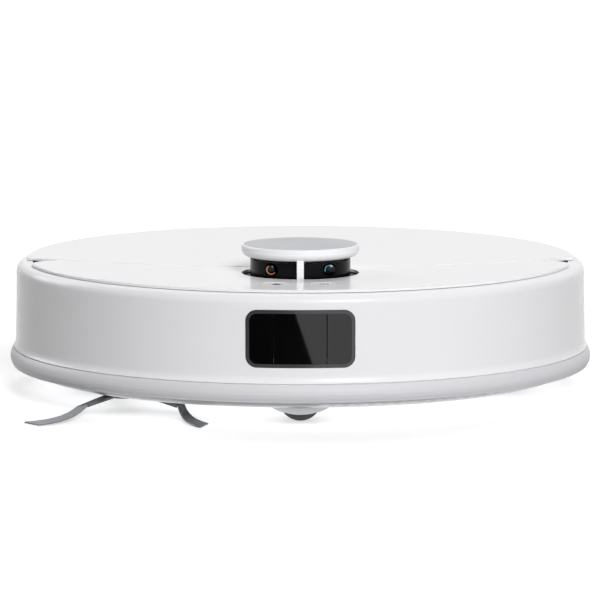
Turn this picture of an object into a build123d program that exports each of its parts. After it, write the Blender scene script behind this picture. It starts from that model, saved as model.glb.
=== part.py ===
"""Round robot vacuum cleaner: a white two-part shell on a chassis, with its drive, brushes, sensors and bin.

Millimetres. +Z is up, the robot drives towards -Y, and the origin is on the floor at the middle of the body.
"""

import os
from math import atan2, cos, degrees, hypot, pi, radians, sin, sqrt

from build123d import *

os.makedirs("parts", exist_ok=True)

# Overall sizes
flange_radius = 176.5
wall_radius = flange_radius - 3.3
ground_clearance = 11.0
deck_height = 79.5
turret_rise = 17.0
overall_height = deck_height + turret_rise

# Clearances
running_clearance = 0.05
small_gap = 0.3
lid_seam_gap = 1.0

# Outer shell section
shell_wall = 2.4
wall_draft = 0.8
shoulder_radius = 5.6
rim_height = deck_height - 1.9
rim_thickness = 2.0
rim_reach = 3.5
seam_height = 26.0
seam_radius = flange_radius - 1.9
seam_groove = 0.7
flare_height = 4.6
strip_bottom = 15.5
strip_bulge_height = 20.4
strip_foot_radius = flange_radius - 1.1
strip_foot_round = 1.0
strip_lip = 3.4
strip_lip_thickness = 1.8

# Bumper travel and the line where it ends on each side
bumper_travel = 3.5
bumper_end_y = 24.0
bumper_end_gap = 4.2

# Obstacle sensor window in the bumper
window_width = 62.4
window_height = 33.0
window_centre_z = 52.2
window_corner = 6.4
bezel_width = 2.0
pane_divider_x = 15.2
pane_gap = 0.5
pane_thickness = 1.6
bezel_depth = 3.2

# Lower pan and the frame that stands on it
pan_radius = flange_radius - 13.5
pan_floor = 2.6
pan_wall = 2.4
pan_split_z = 40.0
deck_plate_top = deck_height - 4.9
deck_plate = 2.6
pan_edge_radius = 2.2

# Top panel and lid
skin = 1.6
skin_radius = flange_radius - 10.4
skin_edge_radius = 0.9
seam_apex_y = -57.0
seam_arc_radius = 304.0
panel_tip_radius = 16.0
lid_corner_radius = 3.0
skin_rib_radius = skin_radius - 7.6
skin_rib = 2.0
lid_cutout_radius = 40.3

# Lid hinge
hinge_y = -46.0
hinge_z = deck_height - 1.0
hinge_pin_radius = 0.6
hinge_boss_depth = 0.8
hinge_boss_width = 4.4
hinge_boss_length = 14.0

# Laser turret
turret_y = -83.0
turret_well_radius = 34.5
turret_cap_radius = 34.7
turret_cap_bottom = overall_height - 6.9
turret_cap_edge = 1.0
turret_disc_inset = 1.5
turret_disc_thickness = 0.8
turret_body_radius = 30.2
turret_post_width = 4.0
turret_post_depth = 2.4
turret_post_count = 3
turret_press = 1.2
rotor_bottom = deck_height - 1.1
rotor_shaft_radius = 2.0
lens_radius = 3.7
lens_offset = 17.0
lens_height = deck_height + 4.1
turret_motor_radius = 13.0
turret_motor_height = 18.0

# Buttons
button_x = 13.8
button_y = -138.4
button_radius = 8.0
button_gap = 0.15
button_travel = 0.8
button_flange = 1.2

# Drive wheels
wheel_radius = 34.0
wheel_width = 22.0
wheel_x = 121.0
wheel_y = 4.0
rim_radius = 26.0
tread_count = 30
tread_depth = 2.0
wheel_shaft_radius = 3.0
gear_module = 1.25
gear_teeth = 36
pinion_teeth = 12
gear_thickness = 6.0
gear_backlash = 0.45
pivot_y = -48.0
pivot_z = 42.0
pivot_pin_radius = 2.5
pivot_boss_radius = 7.5
case_width = 18.0
case_wall = 2.2
wheel_motor_radius = 11.0
wheel_motor_length = 8.0

# Main rollers
roller_radius = 17.0
roller_length = 156.0
front_roller_y = -28.0
roller_spacing = 37.0
roller_floor_gap = 1.5
roller_tube_radius = 12.6
roller_core_radius = 8.0
roller_pin_radius = 3.0
roller_fin_count = 6
roller_fin_thickness = 2.0
roller_twist = 28.0
chamber_wall = 2.2
chamber_clearance = 2.0
guard_frame = 3.2
guard_thickness = 2.4
duct_x = -11.0
duct_z = 27.0
duct_width = 60.0
duct_height = 16.0
duct_wall = 1.6
brush_motor_x = -75.0
brush_motor_y = 0.0
brush_motor_radius = 14.0
brush_motor_length = 55.0

# Front caster
caster_y = -140.0
caster_trail = 2.0
caster_wheel_radius = 13.0
caster_wheel_width = 19.0
caster_wheel_edge = 8.6
caster_dome_radius = 19.8
caster_dome_foot = 4.3
caster_dome_rise = 6.2
caster_stem_radius = 4.0
caster_axle_radius = 2.0

# Side brush
brush_x = -102.0
brush_y = -100.0
brush_hub_radius = 11.0
brush_hub_bottom = 8.8
brush_arm_count = 3
brush_arm_angle = 222.0
brush_arm_reach = 36.0
brush_reach = 65.0
strands_across = 25
strands_deep = 4
strand_width = 0.19
strand_height = 0.1

# Dust bin, filter and fan
bin_left = -78.0
bin_right = 56.0
bin_front = 50.0
bin_back = 126.0
bin_wall = 2.0
bin_top = 66.0
bin_corner = 10.0
filter_thickness = 9.0
filter_pleats = 9
fan_x = 100.0
fan_y = 82.0
fan_radius = 27.0
fan_height = 40.0
impeller_radius = 21.0
impeller_blades = 9

# Battery and electronics
battery_width = 124.0
battery_depth = 46.0
battery_height = 26.0
battery_y = -88.0
board_z = 47.0
board_thickness = 1.6

# Fasteners and small bottom pieces
screw_radius = 1.5
screw_head_radius = 3.0
screw_head = 2.0
screw_length = 9.0
boss_radius = 3.6

# Derived places
pan_floor_top = ground_clearance + pan_floor
skin_bottom = deck_height - skin
seam_arc_y = seam_apex_y + seam_arc_radius
shell_inner_radius = wall_radius - shell_wall
wheel_axle_z = wheel_radius
gear_pitch_radius = gear_module * gear_teeth / 2
pinion_pitch_radius = gear_module * pinion_teeth / 2
gear_centres = gear_pitch_radius + pinion_pitch_radius
arm_length = hypot(wheel_y - pivot_y, wheel_axle_z - pivot_z)
pinion_y = wheel_y + (pivot_y - wheel_y) * gear_centres / arm_length
pinion_z = wheel_axle_z + (pivot_z - wheel_axle_z) * gear_centres / arm_length
case_outer_x = wheel_x - wheel_width / 2 - 1.0
case_inner_x = case_outer_x - case_width
roller_axis_z = roller_radius + roller_floor_gap
roller_ys = (front_roller_y, front_roller_y + roller_spacing)
chamber_half_length = roller_length / 2 + 1.0
chamber_front = roller_ys[0] - roller_radius - chamber_clearance
chamber_back = roller_ys[1] + roller_radius + chamber_clearance
chamber_top = roller_axis_z + roller_radius + chamber_clearance
pin_end = chamber_half_length + chamber_wall - 0.2
caster_well_radius = caster_dome_radius + 0.8
bin_foot = pan_floor_top


def save(piece, name):
    """Label a finished piece and write it as one STEP file."""
    piece.part.label = name
    export_step(piece.part, f"parts/{name}.step")


def plane_y(y):
    """A plane across the robot at y, whose normal looks forwards."""
    return Plane.XZ.offset(-y)


def plane_x(x):
    """A plane along the robot at x, with Y and Z as its own axes."""
    return Plane.YZ.offset(x)


# Outer shell
def shell_ring():
    """The full ring of the outer wall, from the strip seam over the shoulder to the rim under the skin."""
    shoulder_foot = rim_height - shoulder_radius
    wall_top = wall_radius - wall_draft
    shoulder_end = wall_top - shoulder_radius
    rim_inner = skin_radius - rim_reach
    rim_underside = rim_height - rim_thickness
    inner_top = wall_top - shell_wall
    inner_round = shoulder_radius - shell_wall
    with BuildPart() as ring:
        with BuildSketch(Plane.XZ):
            with BuildLine():
                Polyline(
                    (shell_inner_radius, seam_height),
                    (seam_radius - seam_groove, seam_height),
                    (seam_radius, seam_height + seam_groove),
                )
                RadiusArc(
                    (seam_radius, seam_height + seam_groove), (wall_radius, seam_height + flare_height), 8.0
                )
                Line((wall_radius, seam_height + flare_height), (wall_top, shoulder_foot))
                JernArc((wall_top, shoulder_foot), (0, 1), shoulder_radius, 90)
                Polyline(
                    (shoulder_end, rim_height),
                    (rim_inner, rim_height),
                    (rim_inner, rim_underside),
                    (shoulder_end, rim_underside),
                )
                RadiusArc(
                    (shoulder_end, rim_underside), (inner_top, rim_underside - inner_round), inner_round
                )
                Polyline(
                    (inner_top, rim_underside - inner_round),
                    (shell_inner_radius, seam_height + flare_height),
                    (shell_inner_radius, seam_height),
                )
            make_face()
        revolve(axis=Axis.Z)
    return ring.part


def strip_ring():
    """The full ring of the soft strip under the shell, which stands out as the widest line of the body."""
    with BuildPart() as ring:
        with BuildSketch(Plane.XZ):
            with BuildLine():
                foot = (strip_foot_radius - strip_foot_round, strip_bottom)
                heel = (strip_foot_radius, strip_bottom + strip_foot_round)
                Line((shell_inner_radius - strip_lip, strip_bottom), foot)
                TangentArc(foot, heel, tangent=(1, 0))
                TangentArc((flange_radius, strip_bulge_height), heel, tangent=(0, -1))
                TangentArc((flange_radius, strip_bulge_height), (seam_radius, seam_height), tangent=(0, 1))
                Polyline(
                    (seam_radius, seam_height),
                    (shell_inner_radius, seam_height),
                    (shell_inner_radius, strip_bottom + strip_lip_thickness),
                    (shell_inner_radius - strip_lip, strip_bottom + strip_lip_thickness),
                    (shell_inner_radius - strip_lip, strip_bottom),
                )
            make_face()
        revolve(axis=Axis.Z)
    return ring.part


front_side = plane_y(bumper_end_y)
rear_side = plane_y(bumper_end_y + bumper_end_gap)


def window_outline(inset):
    """The sensor window's rounded outline on the open sketch, drawn smaller by inset."""
    with Locations((0, window_centre_z)):
        RectangleRounded(
            window_width - 2 * inset, window_height - 2 * inset, max(window_corner - inset, 0.5)
        )


with BuildPart() as bumper_shell:
    add(shell_ring())
    split(bisect_by=front_side, keep=Keep.TOP)
    with BuildSketch(plane_y(-wall_radius - 10)):
        window_outline(-small_gap / 2)
    extrude(amount=-40, mode=Mode.SUBTRACT)
save(bumper_shell, "bumper_shell")

with BuildPart() as bumper_strip:
    add(strip_ring())
    split(bisect_by=front_side, keep=Keep.TOP)
save(bumper_strip, "bumper_strip")

# Rear shell, with a finger scoop at the back and slots for the exhaust air
scoop_width = 60.0
scoop_depth = 5.0
slot_count = 9
slot_pitch = 5.0
slot_width = 2.4
slot_length = 26.0
slot_height = 46.0
slot_heading = 40.0
with BuildPart() as rear_shell:
    add(shell_ring())
    split(bisect_by=rear_side, keep=Keep.BOTTOM)
    with BuildSketch(plane_y(wall_radius + 5)):
        with Locations((0, rim_height)):
            SlotOverall(scoop_width, 2 * scoop_depth)
    extrude(amount=14, mode=Mode.SUBTRACT)
    for slot in range(slot_count):
        heading = radians(slot_heading) + (slot - (slot_count - 1) / 2) * slot_pitch / wall_radius
        outward = Plane(
            origin=(wall_radius * cos(heading), wall_radius * sin(heading), slot_height),
            x_dir=(-sin(heading), cos(heading), 0),
            z_dir=(cos(heading), sin(heading), 0),
        )
        with BuildSketch(outward.offset(5)):
            SlotOverall(slot_length, slot_width, rotation=90)
        extrude(amount=-12, mode=Mode.SUBTRACT)
save(rear_shell, "rear_shell")

with BuildPart() as rear_skirt:
    add(strip_ring())
    split(bisect_by=rear_side, keep=Keep.BOTTOM)
save(rear_skirt, "rear_skirt")

# Sensor window set into the bumper: a bezel round three dark panes, with the camera and projectors behind
window_face_radius = wall_radius - wall_draft / 2
with BuildPart() as sensor_bezel:
    with BuildSketch(Plane.XY.offset(window_centre_z - window_height)):
        Circle(window_face_radius + 0.3)
        Circle(window_face_radius + 0.3 - bezel_depth, mode=Mode.SUBTRACT)
    extrude(amount=2 * window_height)
    with BuildSketch(plane_y(-wall_radius - 10)):
        window_outline(0)
    extrude(amount=-40, mode=Mode.INTERSECT)
    with BuildSketch(plane_y(-wall_radius - 10)):
        window_outline(bezel_width)
    extrude(amount=-40, mode=Mode.SUBTRACT)
save(sensor_bezel, "sensor_bezel")


def sensor_pane(left, right):
    """A dark pane of the sensor window between two x places, bent to the bumper's curve."""
    with BuildPart() as pane:
        with BuildSketch(Plane.XY.offset(window_centre_z - window_height)):
            Circle(window_face_radius)
            Circle(window_face_radius - pane_thickness, mode=Mode.SUBTRACT)
        extrude(amount=2 * window_height)
        with BuildSketch(plane_y(-wall_radius - 10)):
            window_outline(bezel_width + running_clearance)
            with Locations(((left + right) / 2, window_centre_z)):
                Rectangle(right - left, window_height, mode=Mode.INTERSECT)
        extrude(amount=-40, mode=Mode.INTERSECT)
    return pane


pane_edges = (-window_width / 2, -pane_divider_x, pane_divider_x, window_width / 2)
pane_names = ("projector_window_left", "camera_window", "projector_window_right")
for pane_name, left_edge, right_edge in zip(pane_names, pane_edges, pane_edges[1:]):
    save(sensor_pane(left_edge + pane_gap / 2, right_edge - pane_gap / 2), pane_name)

camera_barrel_radius = 5.0
with BuildPart() as camera_module:
    with BuildSketch(plane_y(-window_face_radius + pane_thickness + small_gap)):
        with Locations((0, window_centre_z)):
            Circle(camera_barrel_radius)
    extrude(amount=-2.2)
    with BuildSketch(plane_y(-window_face_radius + pane_thickness + small_gap + 2.2)):
        with Locations((0, window_centre_z)):
            RectangleRounded(18, 14, 1.5)
    extrude(amount=-1.4)
save(camera_module, "camera_module")

projector_x = (pane_divider_x + window_width / 2) / 2
projector_face_y = -sqrt((window_face_radius - pane_thickness) ** 2 - (projector_x + 4) ** 2) + small_gap
with BuildPart() as line_projectors:
    with BuildSketch(plane_y(projector_face_y)):
        with Locations((-projector_x, window_centre_z), (projector_x, window_centre_z)):
            RectangleRounded(8, 22, 1.0)
    extrude(amount=-1.6)
save(line_projectors, "line_projectors")

# Lower pan: floor and wall, with the caster cup, the wheel wells and the openings for what works underneath
cup_wall = 2.0
cup_top = 31.5
stem_boss_radius = 7.0
stem_top = 43.0
well_front = -40.0
well_back = wheel_y + wheel_radius + 6.0
well_inner_x = case_inner_x - wheel_motor_length - 0.6
well_outer_x = wheel_x + wheel_width / 2 + 3.0
pivot_ear = 3.0
pivot_ear_gap = 0.4
door_length = battery_width + 8.0
door_depth = battery_depth + 8.0
brush_shaft_hole = 5.0
cliff_places = ((-62.0, -138.0), (62.0, -138.0), (-138.0, 62.0), (138.0, 62.0))
cliff_length = 18.0
cliff_width = 9.0
contact_places = ((-42.0, 146.0), (42.0, 146.0))
contact_length = 22.0
contact_width = 9.0
screw_places = [(151.0 * cos(radians(a)), 151.0 * sin(radians(a))) for a in (20, 62, 118, 160, 200, 340)]
board_posts = [(x * 72.0, battery_y + y * 20.0) for x in (-1, 1) for y in (-1, 1)]
board_post_radius = 3.0
ear_places = (case_inner_x - pivot_ear_gap - pivot_ear / 2, case_outer_x + pivot_ear_gap + pivot_ear / 2)

with BuildPart() as base_pan:
    with BuildSketch(Plane.XY.offset(ground_clearance)):
        Circle(pan_radius)
    extrude(amount=pan_split_z - ground_clearance)
    fillet(base_pan.edges().group_by(Axis.Z)[0], pan_edge_radius)
    with BuildSketch(Plane.XY.offset(pan_floor_top)):
        Circle(pan_radius - pan_wall)
    extrude(amount=pan_split_z, mode=Mode.SUBTRACT)
    with BuildSketch(Plane.XY.offset(ground_clearance)):
        with Locations((0, caster_y)):
            Circle(caster_well_radius + cup_wall)
    extrude(amount=cup_top + cup_wall - ground_clearance)
    with BuildSketch(Plane.XY.offset(cup_top)):
        with Locations((0, caster_y)):
            Circle(stem_boss_radius)
    extrude(amount=stem_top - cup_top)
    with BuildSketch():
        with Locations((0, caster_y)):
            Circle(caster_well_radius)
    extrude(amount=cup_top, mode=Mode.SUBTRACT)
    with BuildSketch(Plane.XY.offset(cup_top)):
        with Locations((0, caster_y)):
            Circle(caster_stem_radius + running_clearance)
    extrude(amount=stem_top, mode=Mode.SUBTRACT)
    # Bosses for the chassis screws and posts for the main board
    with BuildSketch(Plane.XY.offset(pan_floor_top)):
        with Locations(*screw_places):
            Circle(boss_radius)
    extrude(amount=screw_length)
    with BuildSketch(Plane.XY.offset(pan_floor_top)):
        with Locations(*board_posts):
            Circle(board_post_radius)
    extrude(amount=board_z - pan_floor_top)
    # Ears that carry the wheel arms
    for side in (-1, 1):
        with BuildSketch(Plane.XY.offset(pan_floor_top)):
            with Locations(*[(side * x, pivot_y) for x in ear_places]):
                Rectangle(pivot_ear, 2 * pivot_boss_radius)
        extrude(amount=pivot_z + pivot_boss_radius - pan_floor_top)
        with BuildSketch(plane_x(side * (case_inner_x - 10))):
            with Locations((pivot_y, pivot_z)):
                Circle(pivot_pin_radius + running_clearance)
        extrude(amount=side * (case_width + 20), mode=Mode.SUBTRACT)
    # Openings through the floor
    with BuildSketch():
        for side in (-1, 1):
            with Locations((side * (well_inner_x + well_outer_x) / 2, (well_front + well_back) / 2)):
                Rectangle(well_outer_x - well_inner_x, well_back - well_front)
        with Locations((0, (chamber_front + chamber_back) / 2)):
            Rectangle(2 * chamber_half_length, chamber_back - chamber_front)
        with Locations((0, battery_y)):
            RectangleRounded(door_length + 2 * small_gap, door_depth + 2 * small_gap, 5.0)
        with Locations((brush_x, brush_y)):
            Circle(brush_shaft_hole)
        with Locations(*cliff_places):
            RectangleRounded(cliff_length, cliff_width, 3.0)
    extrude(amount=pan_floor_top, mode=Mode.SUBTRACT)
    with BuildSketch():
        with Locations(*contact_places):
            RectangleRounded(contact_length, contact_width, 2.0)
    extrude(amount=ground_clearance + pan_floor / 2, mode=Mode.SUBTRACT)
    with BuildSketch():
        with Locations(*screw_places):
            Circle(screw_radius + small_gap / 2)
    extrude(amount=ground_clearance + screw_length, mode=Mode.SUBTRACT)
    with BuildSketch():
        with Locations(*screw_places):
            Circle(screw_head_radius + small_gap)
    extrude(amount=ground_clearance + screw_head + 0.4, mode=Mode.SUBTRACT)
    # Room for the roller pins where they come down to the floor
    with BuildSketch(plane_x(-pin_end - small_gap)):
        with Locations(*[(y, roller_axis_z) for y in roller_ys]):
            Circle(roller_pin_radius + running_clearance)
    extrude(amount=2 * (pin_end + small_gap), mode=Mode.SUBTRACT)
save(base_pan, "base_pan")

with BuildPart() as chassis_screws:
    with BuildSketch(Plane.XY.offset(ground_clearance + 0.4)):
        with Locations(*screw_places):
            Circle(screw_head_radius)
    extrude(amount=screw_head)
    with BuildSketch(Plane.XY.offset(ground_clearance + 0.4 + screw_head)):
        with Locations(*screw_places):
            Circle(screw_radius)
    extrude(amount=screw_length - screw_head - 2.0)
    with BuildSketch(Plane.XY.offset(ground_clearance + 0.4)):
        with Locations(*screw_places):
            RegularPolygon(1.3, 6)
    extrude(amount=1.0, mode=Mode.SUBTRACT)
save(chassis_screws, "chassis_screws")

with BuildPart() as battery_door:
    with BuildSketch(Plane.XY.offset(ground_clearance)):
        with Locations((0, battery_y)):
            RectangleRounded(door_length, door_depth, 5.0)
    extrude(amount=pan_floor)
    with BuildSketch(Plane.XY.offset(ground_clearance)):
        with Locations((0, battery_y - door_depth / 2 + 8)):
            SlotOverall(26, 7)
    extrude(amount=1.2, mode=Mode.SUBTRACT)
save(battery_door, "battery_door")

with BuildPart() as cliff_sensor_windows:
    with BuildSketch(Plane.XY.offset(ground_clearance + 0.3)):
        with Locations(*cliff_places):
            RectangleRounded(cliff_length - 2 * running_clearance, cliff_width - 2 * running_clearance, 2.9)
    extrude(amount=pan_floor + 2.0)
save(cliff_sensor_windows, "cliff_sensor_windows")

with BuildPart() as charging_contacts:
    with BuildSketch(Plane.XY.offset(ground_clearance - 0.3)):
        with Locations(*contact_places):
            RectangleRounded(contact_length - 0.4, contact_width - 0.4, 1.8)
    extrude(amount=pan_floor / 2 + 0.3)
save(charging_contacts, "charging_contacts")

# Upper frame: the inner wall on the pan, the deck under the top skin and the ledge that seats the rear shell
deck_bottom = deck_plate_top - deck_plate
rim_underside = rim_height - rim_thickness
rear_edge_y = bumper_end_y + bumper_end_gap
turret_seat_hole = 20.0
hinge_pocket_inner = 22.0
hinge_pocket_front = seam_apex_y - 2.0
hinge_pocket_back = hinge_y + 4.0
hinge_pocket_outer = 79.0
with BuildPart() as top_housing:
    with BuildSketch(Plane.XY.offset(pan_split_z)):
        Circle(pan_radius)
        Circle(pan_radius - pan_wall, mode=Mode.SUBTRACT)
    extrude(amount=deck_bottom - pan_split_z)
    with BuildSketch(Plane.XY.offset(deck_bottom)):
        Circle(pan_radius)
        with Locations(((bin_left + bin_right + filter_thickness) / 2, (bin_front + bin_back) / 2)):
            Rectangle(
                bin_right + filter_thickness - bin_left + 4, bin_back - bin_front + 4, mode=Mode.SUBTRACT
            )
        with Locations((0, turret_y)):
            Circle(turret_seat_hole, mode=Mode.SUBTRACT)
        for side in (-1, 1):
            with Locations(
                (
                    side * (hinge_pocket_inner + hinge_pocket_outer) / 2,
                    (hinge_pocket_front + hinge_pocket_back) / 2,
                )
            ):
                Rectangle(
                    hinge_pocket_outer - hinge_pocket_inner,
                    hinge_pocket_back - hinge_pocket_front,
                    mode=Mode.SUBTRACT,
                )
    extrude(amount=deck_plate)
    # Ledge under the rear shell's rim
    with BuildSketch(Plane.XY.offset(deck_plate_top)):
        Circle(pan_radius)
        Circle(pan_radius - 2.0, mode=Mode.SUBTRACT)
        with Locations((0, rear_edge_y + 0.2 - pan_radius)):
            Rectangle(3 * pan_radius, 2 * pan_radius, mode=Mode.SUBTRACT)
    extrude(amount=rim_underside - deck_plate_top)
save(top_housing, "top_housing")

# Lid hinge: a thin pin on each side that crosses the seam inside the skin's own thickness
hinge_drop = seam_arc_y - hinge_y
lid_edge_x = sqrt((seam_arc_radius - lid_seam_gap / 2) ** 2 - hinge_drop**2)
panel_edge_x = sqrt((seam_arc_radius + lid_seam_gap / 2) ** 2 - hinge_drop**2)
pin_inner_x = lid_edge_x - hinge_boss_length
pin_outer_x = panel_edge_x + hinge_boss_length
boss_bottom = skin_bottom - hinge_boss_depth
with BuildPart() as lid_hinge_pins:
    for side in (-1, 1):
        with BuildSketch(plane_x(side * pin_inner_x)):
            with Locations((hinge_y, hinge_z)):
                Circle(hinge_pin_radius)
        extrude(amount=side * (pin_outer_x - pin_inner_x))
save(lid_hinge_pins, "lid_hinge_pins")

# Top skin: the fixed front panel with the ring round the turret, and the lid behind the seam
panel_ring_radius = lid_cutout_radius - lid_seam_gap
with BuildPart() as front_panel:
    with BuildSketch(Plane.XY.offset(skin_bottom)) as panel_plan:
        Circle(skin_radius)
        with Locations((0, seam_arc_y)):
            Circle(seam_arc_radius + lid_seam_gap / 2, mode=Mode.SUBTRACT)
        fillet(panel_plan.vertices().sort_by(Axis.Y)[-2:], panel_tip_radius)
        with Locations((0, turret_y)):
            Circle(panel_ring_radius)
            Circle(turret_well_radius, mode=Mode.SUBTRACT)
        with Locations((-button_x, button_y), (button_x, button_y)):
            Circle(button_radius + button_gap, mode=Mode.SUBTRACT)
    extrude(amount=skin)
    chamfer(
        front_panel.edges().filter_by(GeomType.CIRCLE).filter_by(lambda e: abs(e.radius - skin_radius) < 0.01)
        .group_by(Axis.Z)[-1], skin_edge_radius / 2
    )
    with BuildSketch(Plane.XY.offset(deck_plate_top)):
        Circle(skin_rib_radius)
        Circle(skin_rib_radius - skin_rib, mode=Mode.SUBTRACT)
        with Locations((0, turret_y + skin_radius)):
            Rectangle(3 * skin_radius, 2 * skin_radius, mode=Mode.SUBTRACT)
    extrude(amount=skin_bottom - deck_plate_top)
    for side in (-1, 1):
        with BuildSketch(Plane.XY.offset(boss_bottom)):
            with Locations((side * (pin_outer_x - hinge_boss_length / 2 + 4), hinge_y - 1.5)):
                Rectangle(hinge_boss_length - 4, hinge_boss_width)
        extrude(amount=hinge_boss_depth)
        with BuildSketch(plane_x(side * (pin_inner_x - 1))):
            with Locations((hinge_y, hinge_z)):
                Circle(hinge_pin_radius + running_clearance)
        extrude(amount=side * (pin_outer_x - pin_inner_x + 1.2), mode=Mode.SUBTRACT)
save(front_panel, "front_panel")

lid_rib_start = 35.0
with BuildPart() as top_lid:
    with BuildSketch(Plane.XY.offset(skin_bottom)):
        Circle(skin_radius)
        with Locations((0, seam_arc_y)):
            Circle(seam_arc_radius - lid_seam_gap / 2, mode=Mode.INTERSECT)
    extrude(amount=skin)
    fillet(top_lid.edges().filter_by(Axis.Z).sort_by(Axis.Y)[:2], lid_corner_radius)
    with BuildSketch(Plane.XY.offset(skin_bottom)):
        with Locations((0, turret_y)):
            Circle(lid_cutout_radius)
    extrude(amount=skin, mode=Mode.SUBTRACT)
    chamfer(
        top_lid.edges().filter_by(GeomType.CIRCLE).filter_by(lambda e: abs(e.radius - skin_radius) < 0.01)
        .group_by(Axis.Z)[-1], skin_edge_radius / 2
    )
    with BuildSketch(Plane.XY.offset(deck_plate_top)):
        Circle(skin_rib_radius)
        Circle(skin_rib_radius - skin_rib, mode=Mode.SUBTRACT)
        with Locations((0, lid_rib_start - skin_radius)):
            Rectangle(3 * skin_radius, 2 * skin_radius, mode=Mode.SUBTRACT)
    extrude(amount=skin_bottom - deck_plate_top)
    for side in (-1, 1):
        with BuildSketch(Plane.XY.offset(boss_bottom)):
            with Locations((side * (pin_inner_x + hinge_boss_length / 2 - 4), hinge_y + 1.0)):
                Rectangle(hinge_boss_length - 4, hinge_boss_width)
        extrude(amount=hinge_boss_depth)
        with BuildSketch(plane_x(side * (pin_inner_x - 1.2))):
            with Locations((hinge_y, hinge_z)):
                Circle(hinge_pin_radius + running_clearance)
        extrude(amount=side * (pin_outer_x - pin_inner_x + 1), mode=Mode.SUBTRACT)
save(top_lid, "top_lid")

# Laser turret: a base plate in the panel's well, a pressed cap on three posts and the spinning head between
post_angles = [-90 + 360 * n / turret_post_count for n in range(turret_post_count)]
post_middle = turret_body_radius + turret_post_depth / 2
post_foot = deck_plate_top + turret_press + 0.4
turret_base_top = deck_plate_top + deck_plate
turret_cap_waist = 31.5
turret_disc_radius = turret_cap_radius - turret_disc_inset
turret_cap_ceiling = overall_height - 2.5
rotor_radius = turret_body_radius - 0.7
rotor_top = turret_cap_bottom - turret_press - 0.4
lens_seat_y = turret_y - 20.0
lens_depth = 1.7
with BuildPart() as turret_base:
    with BuildSketch(Plane.XY.offset(deck_plate_top)):
        with Locations((0, turret_y)):
            Circle(turret_well_radius - small_gap)
            Circle(rotor_shaft_radius + running_clearance, mode=Mode.SUBTRACT)
            for angle in post_angles:
                with PolarLocations(post_middle, 1, start_angle=angle):
                    Rectangle(turret_post_depth + 0.2, turret_post_width + 0.2, mode=Mode.SUBTRACT)
    extrude(amount=deck_plate)
save(turret_base, "turret_base")

with BuildPart() as turret_cap:
    with BuildSketch(Plane.XZ.offset(-turret_y)):
        with BuildLine():
            Line((0, overall_height), (turret_cap_radius - turret_cap_edge, overall_height))
            RadiusArc(
                (turret_cap_radius - turret_cap_edge, overall_height),
                (turret_cap_radius, overall_height - turret_cap_edge),
                turret_cap_edge,
            )
            Line(
                (turret_cap_radius, overall_height - turret_cap_edge),
                (turret_cap_radius, turret_cap_bottom + 3.4),
            )
            RadiusArc(
                (turret_cap_radius, turret_cap_bottom + 3.4), (turret_cap_waist, turret_cap_bottom), 5.0
            )
            Polyline(
                (turret_cap_waist, turret_cap_bottom),
                (turret_body_radius - 2.2, turret_cap_bottom),
                (turret_body_radius - 2.2, turret_cap_ceiling),
                (0, turret_cap_ceiling),
                (0, overall_height),
            )
        make_face()
    revolve(axis=Axis((0, turret_y, 0), (0, 0, 1)))
    with BuildSketch(Plane.XY.offset(post_foot)):
        with Locations((0, turret_y)):
            for angle in post_angles:
                with PolarLocations(post_middle, 1, start_angle=angle):
                    Rectangle(turret_post_depth, turret_post_width)
    extrude(amount=turret_cap_bottom + 1.0 - post_foot)
    with BuildSketch(Plane.XY.offset(overall_height - turret_disc_thickness)):
        with Locations((0, turret_y)):
            Circle(turret_disc_radius + running_clearance)
    extrude(amount=turret_disc_thickness, mode=Mode.SUBTRACT)
save(turret_cap, "turret_cap")

# Grey disc let into the cap's top
with BuildPart() as turret_disc:
    with BuildSketch(Plane.XY.offset(overall_height - turret_disc_thickness)):
        with Locations((0, turret_y)):
            Circle(turret_disc_radius)
    extrude(amount=turret_disc_thickness)
save(turret_disc, "turret_disc")

motor_bottom = deck_plate_top - turret_motor_height
with BuildPart() as lidar_rotor:
    with BuildSketch(Plane.XY.offset(rotor_bottom)):
        with Locations((0, turret_y)):
            Circle(rotor_radius)
    extrude(amount=rotor_top - rotor_bottom)
    with BuildSketch(Plane.XY.offset(motor_bottom + 4)):
        with Locations((0, turret_y)):
            Circle(rotor_shaft_radius)
    extrude(amount=rotor_bottom - motor_bottom - 4)
    with BuildSketch(plane_y(lens_seat_y)):
        with Locations((-lens_offset, lens_height), (lens_offset, lens_height)):
            Circle(lens_radius + 0.5)
    extrude(amount=20, mode=Mode.SUBTRACT)
save(lidar_rotor, "lidar_rotor")

with BuildPart() as lidar_lenses:
    with BuildSketch(plane_y(lens_seat_y)):
        with Locations((-lens_offset, lens_height), (lens_offset, lens_height)):
            Circle(lens_radius)
    extrude(amount=lens_depth)
    fillet(lidar_lenses.faces().sort_by(Axis.Y)[:2].edges(), 0.9)
save(lidar_lenses, "lidar_lenses")

with BuildPart() as lidar_motor:
    with BuildSketch(Plane.XY.offset(motor_bottom)):
        with Locations((0, turret_y)):
            Circle(turret_motor_radius)
    extrude(amount=turret_motor_height)
    with BuildSketch(Plane.XY.offset(motor_bottom + 3)):
        with Locations((0, turret_y)):
            Circle(rotor_shaft_radius + running_clearance)
    extrude(amount=turret_motor_height, mode=Mode.SUBTRACT)
save(lidar_motor, "lidar_motor")

# Buttons in the front panel
button_top = deck_height - 0.1
button_flange_top = skin_bottom - 0.4
for button_name, button_side in (("power_button", 1), ("home_button", -1)):
    with BuildPart() as button:
        with BuildSketch(Plane.XY.offset(button_flange_top - button_flange)):
            with Locations((button_side * button_x, button_y)):
                Circle(button_radius + 1.2)
        extrude(amount=button_flange)
        with BuildSketch(Plane.XY.offset(button_flange_top)):
            with Locations((button_side * button_x, button_y)):
                Circle(button_radius)
        extrude(amount=button_top - button_flange_top)
        fillet(button.edges().group_by(Axis.Z)[-1], 0.4)
    save(button, button_name)

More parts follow.
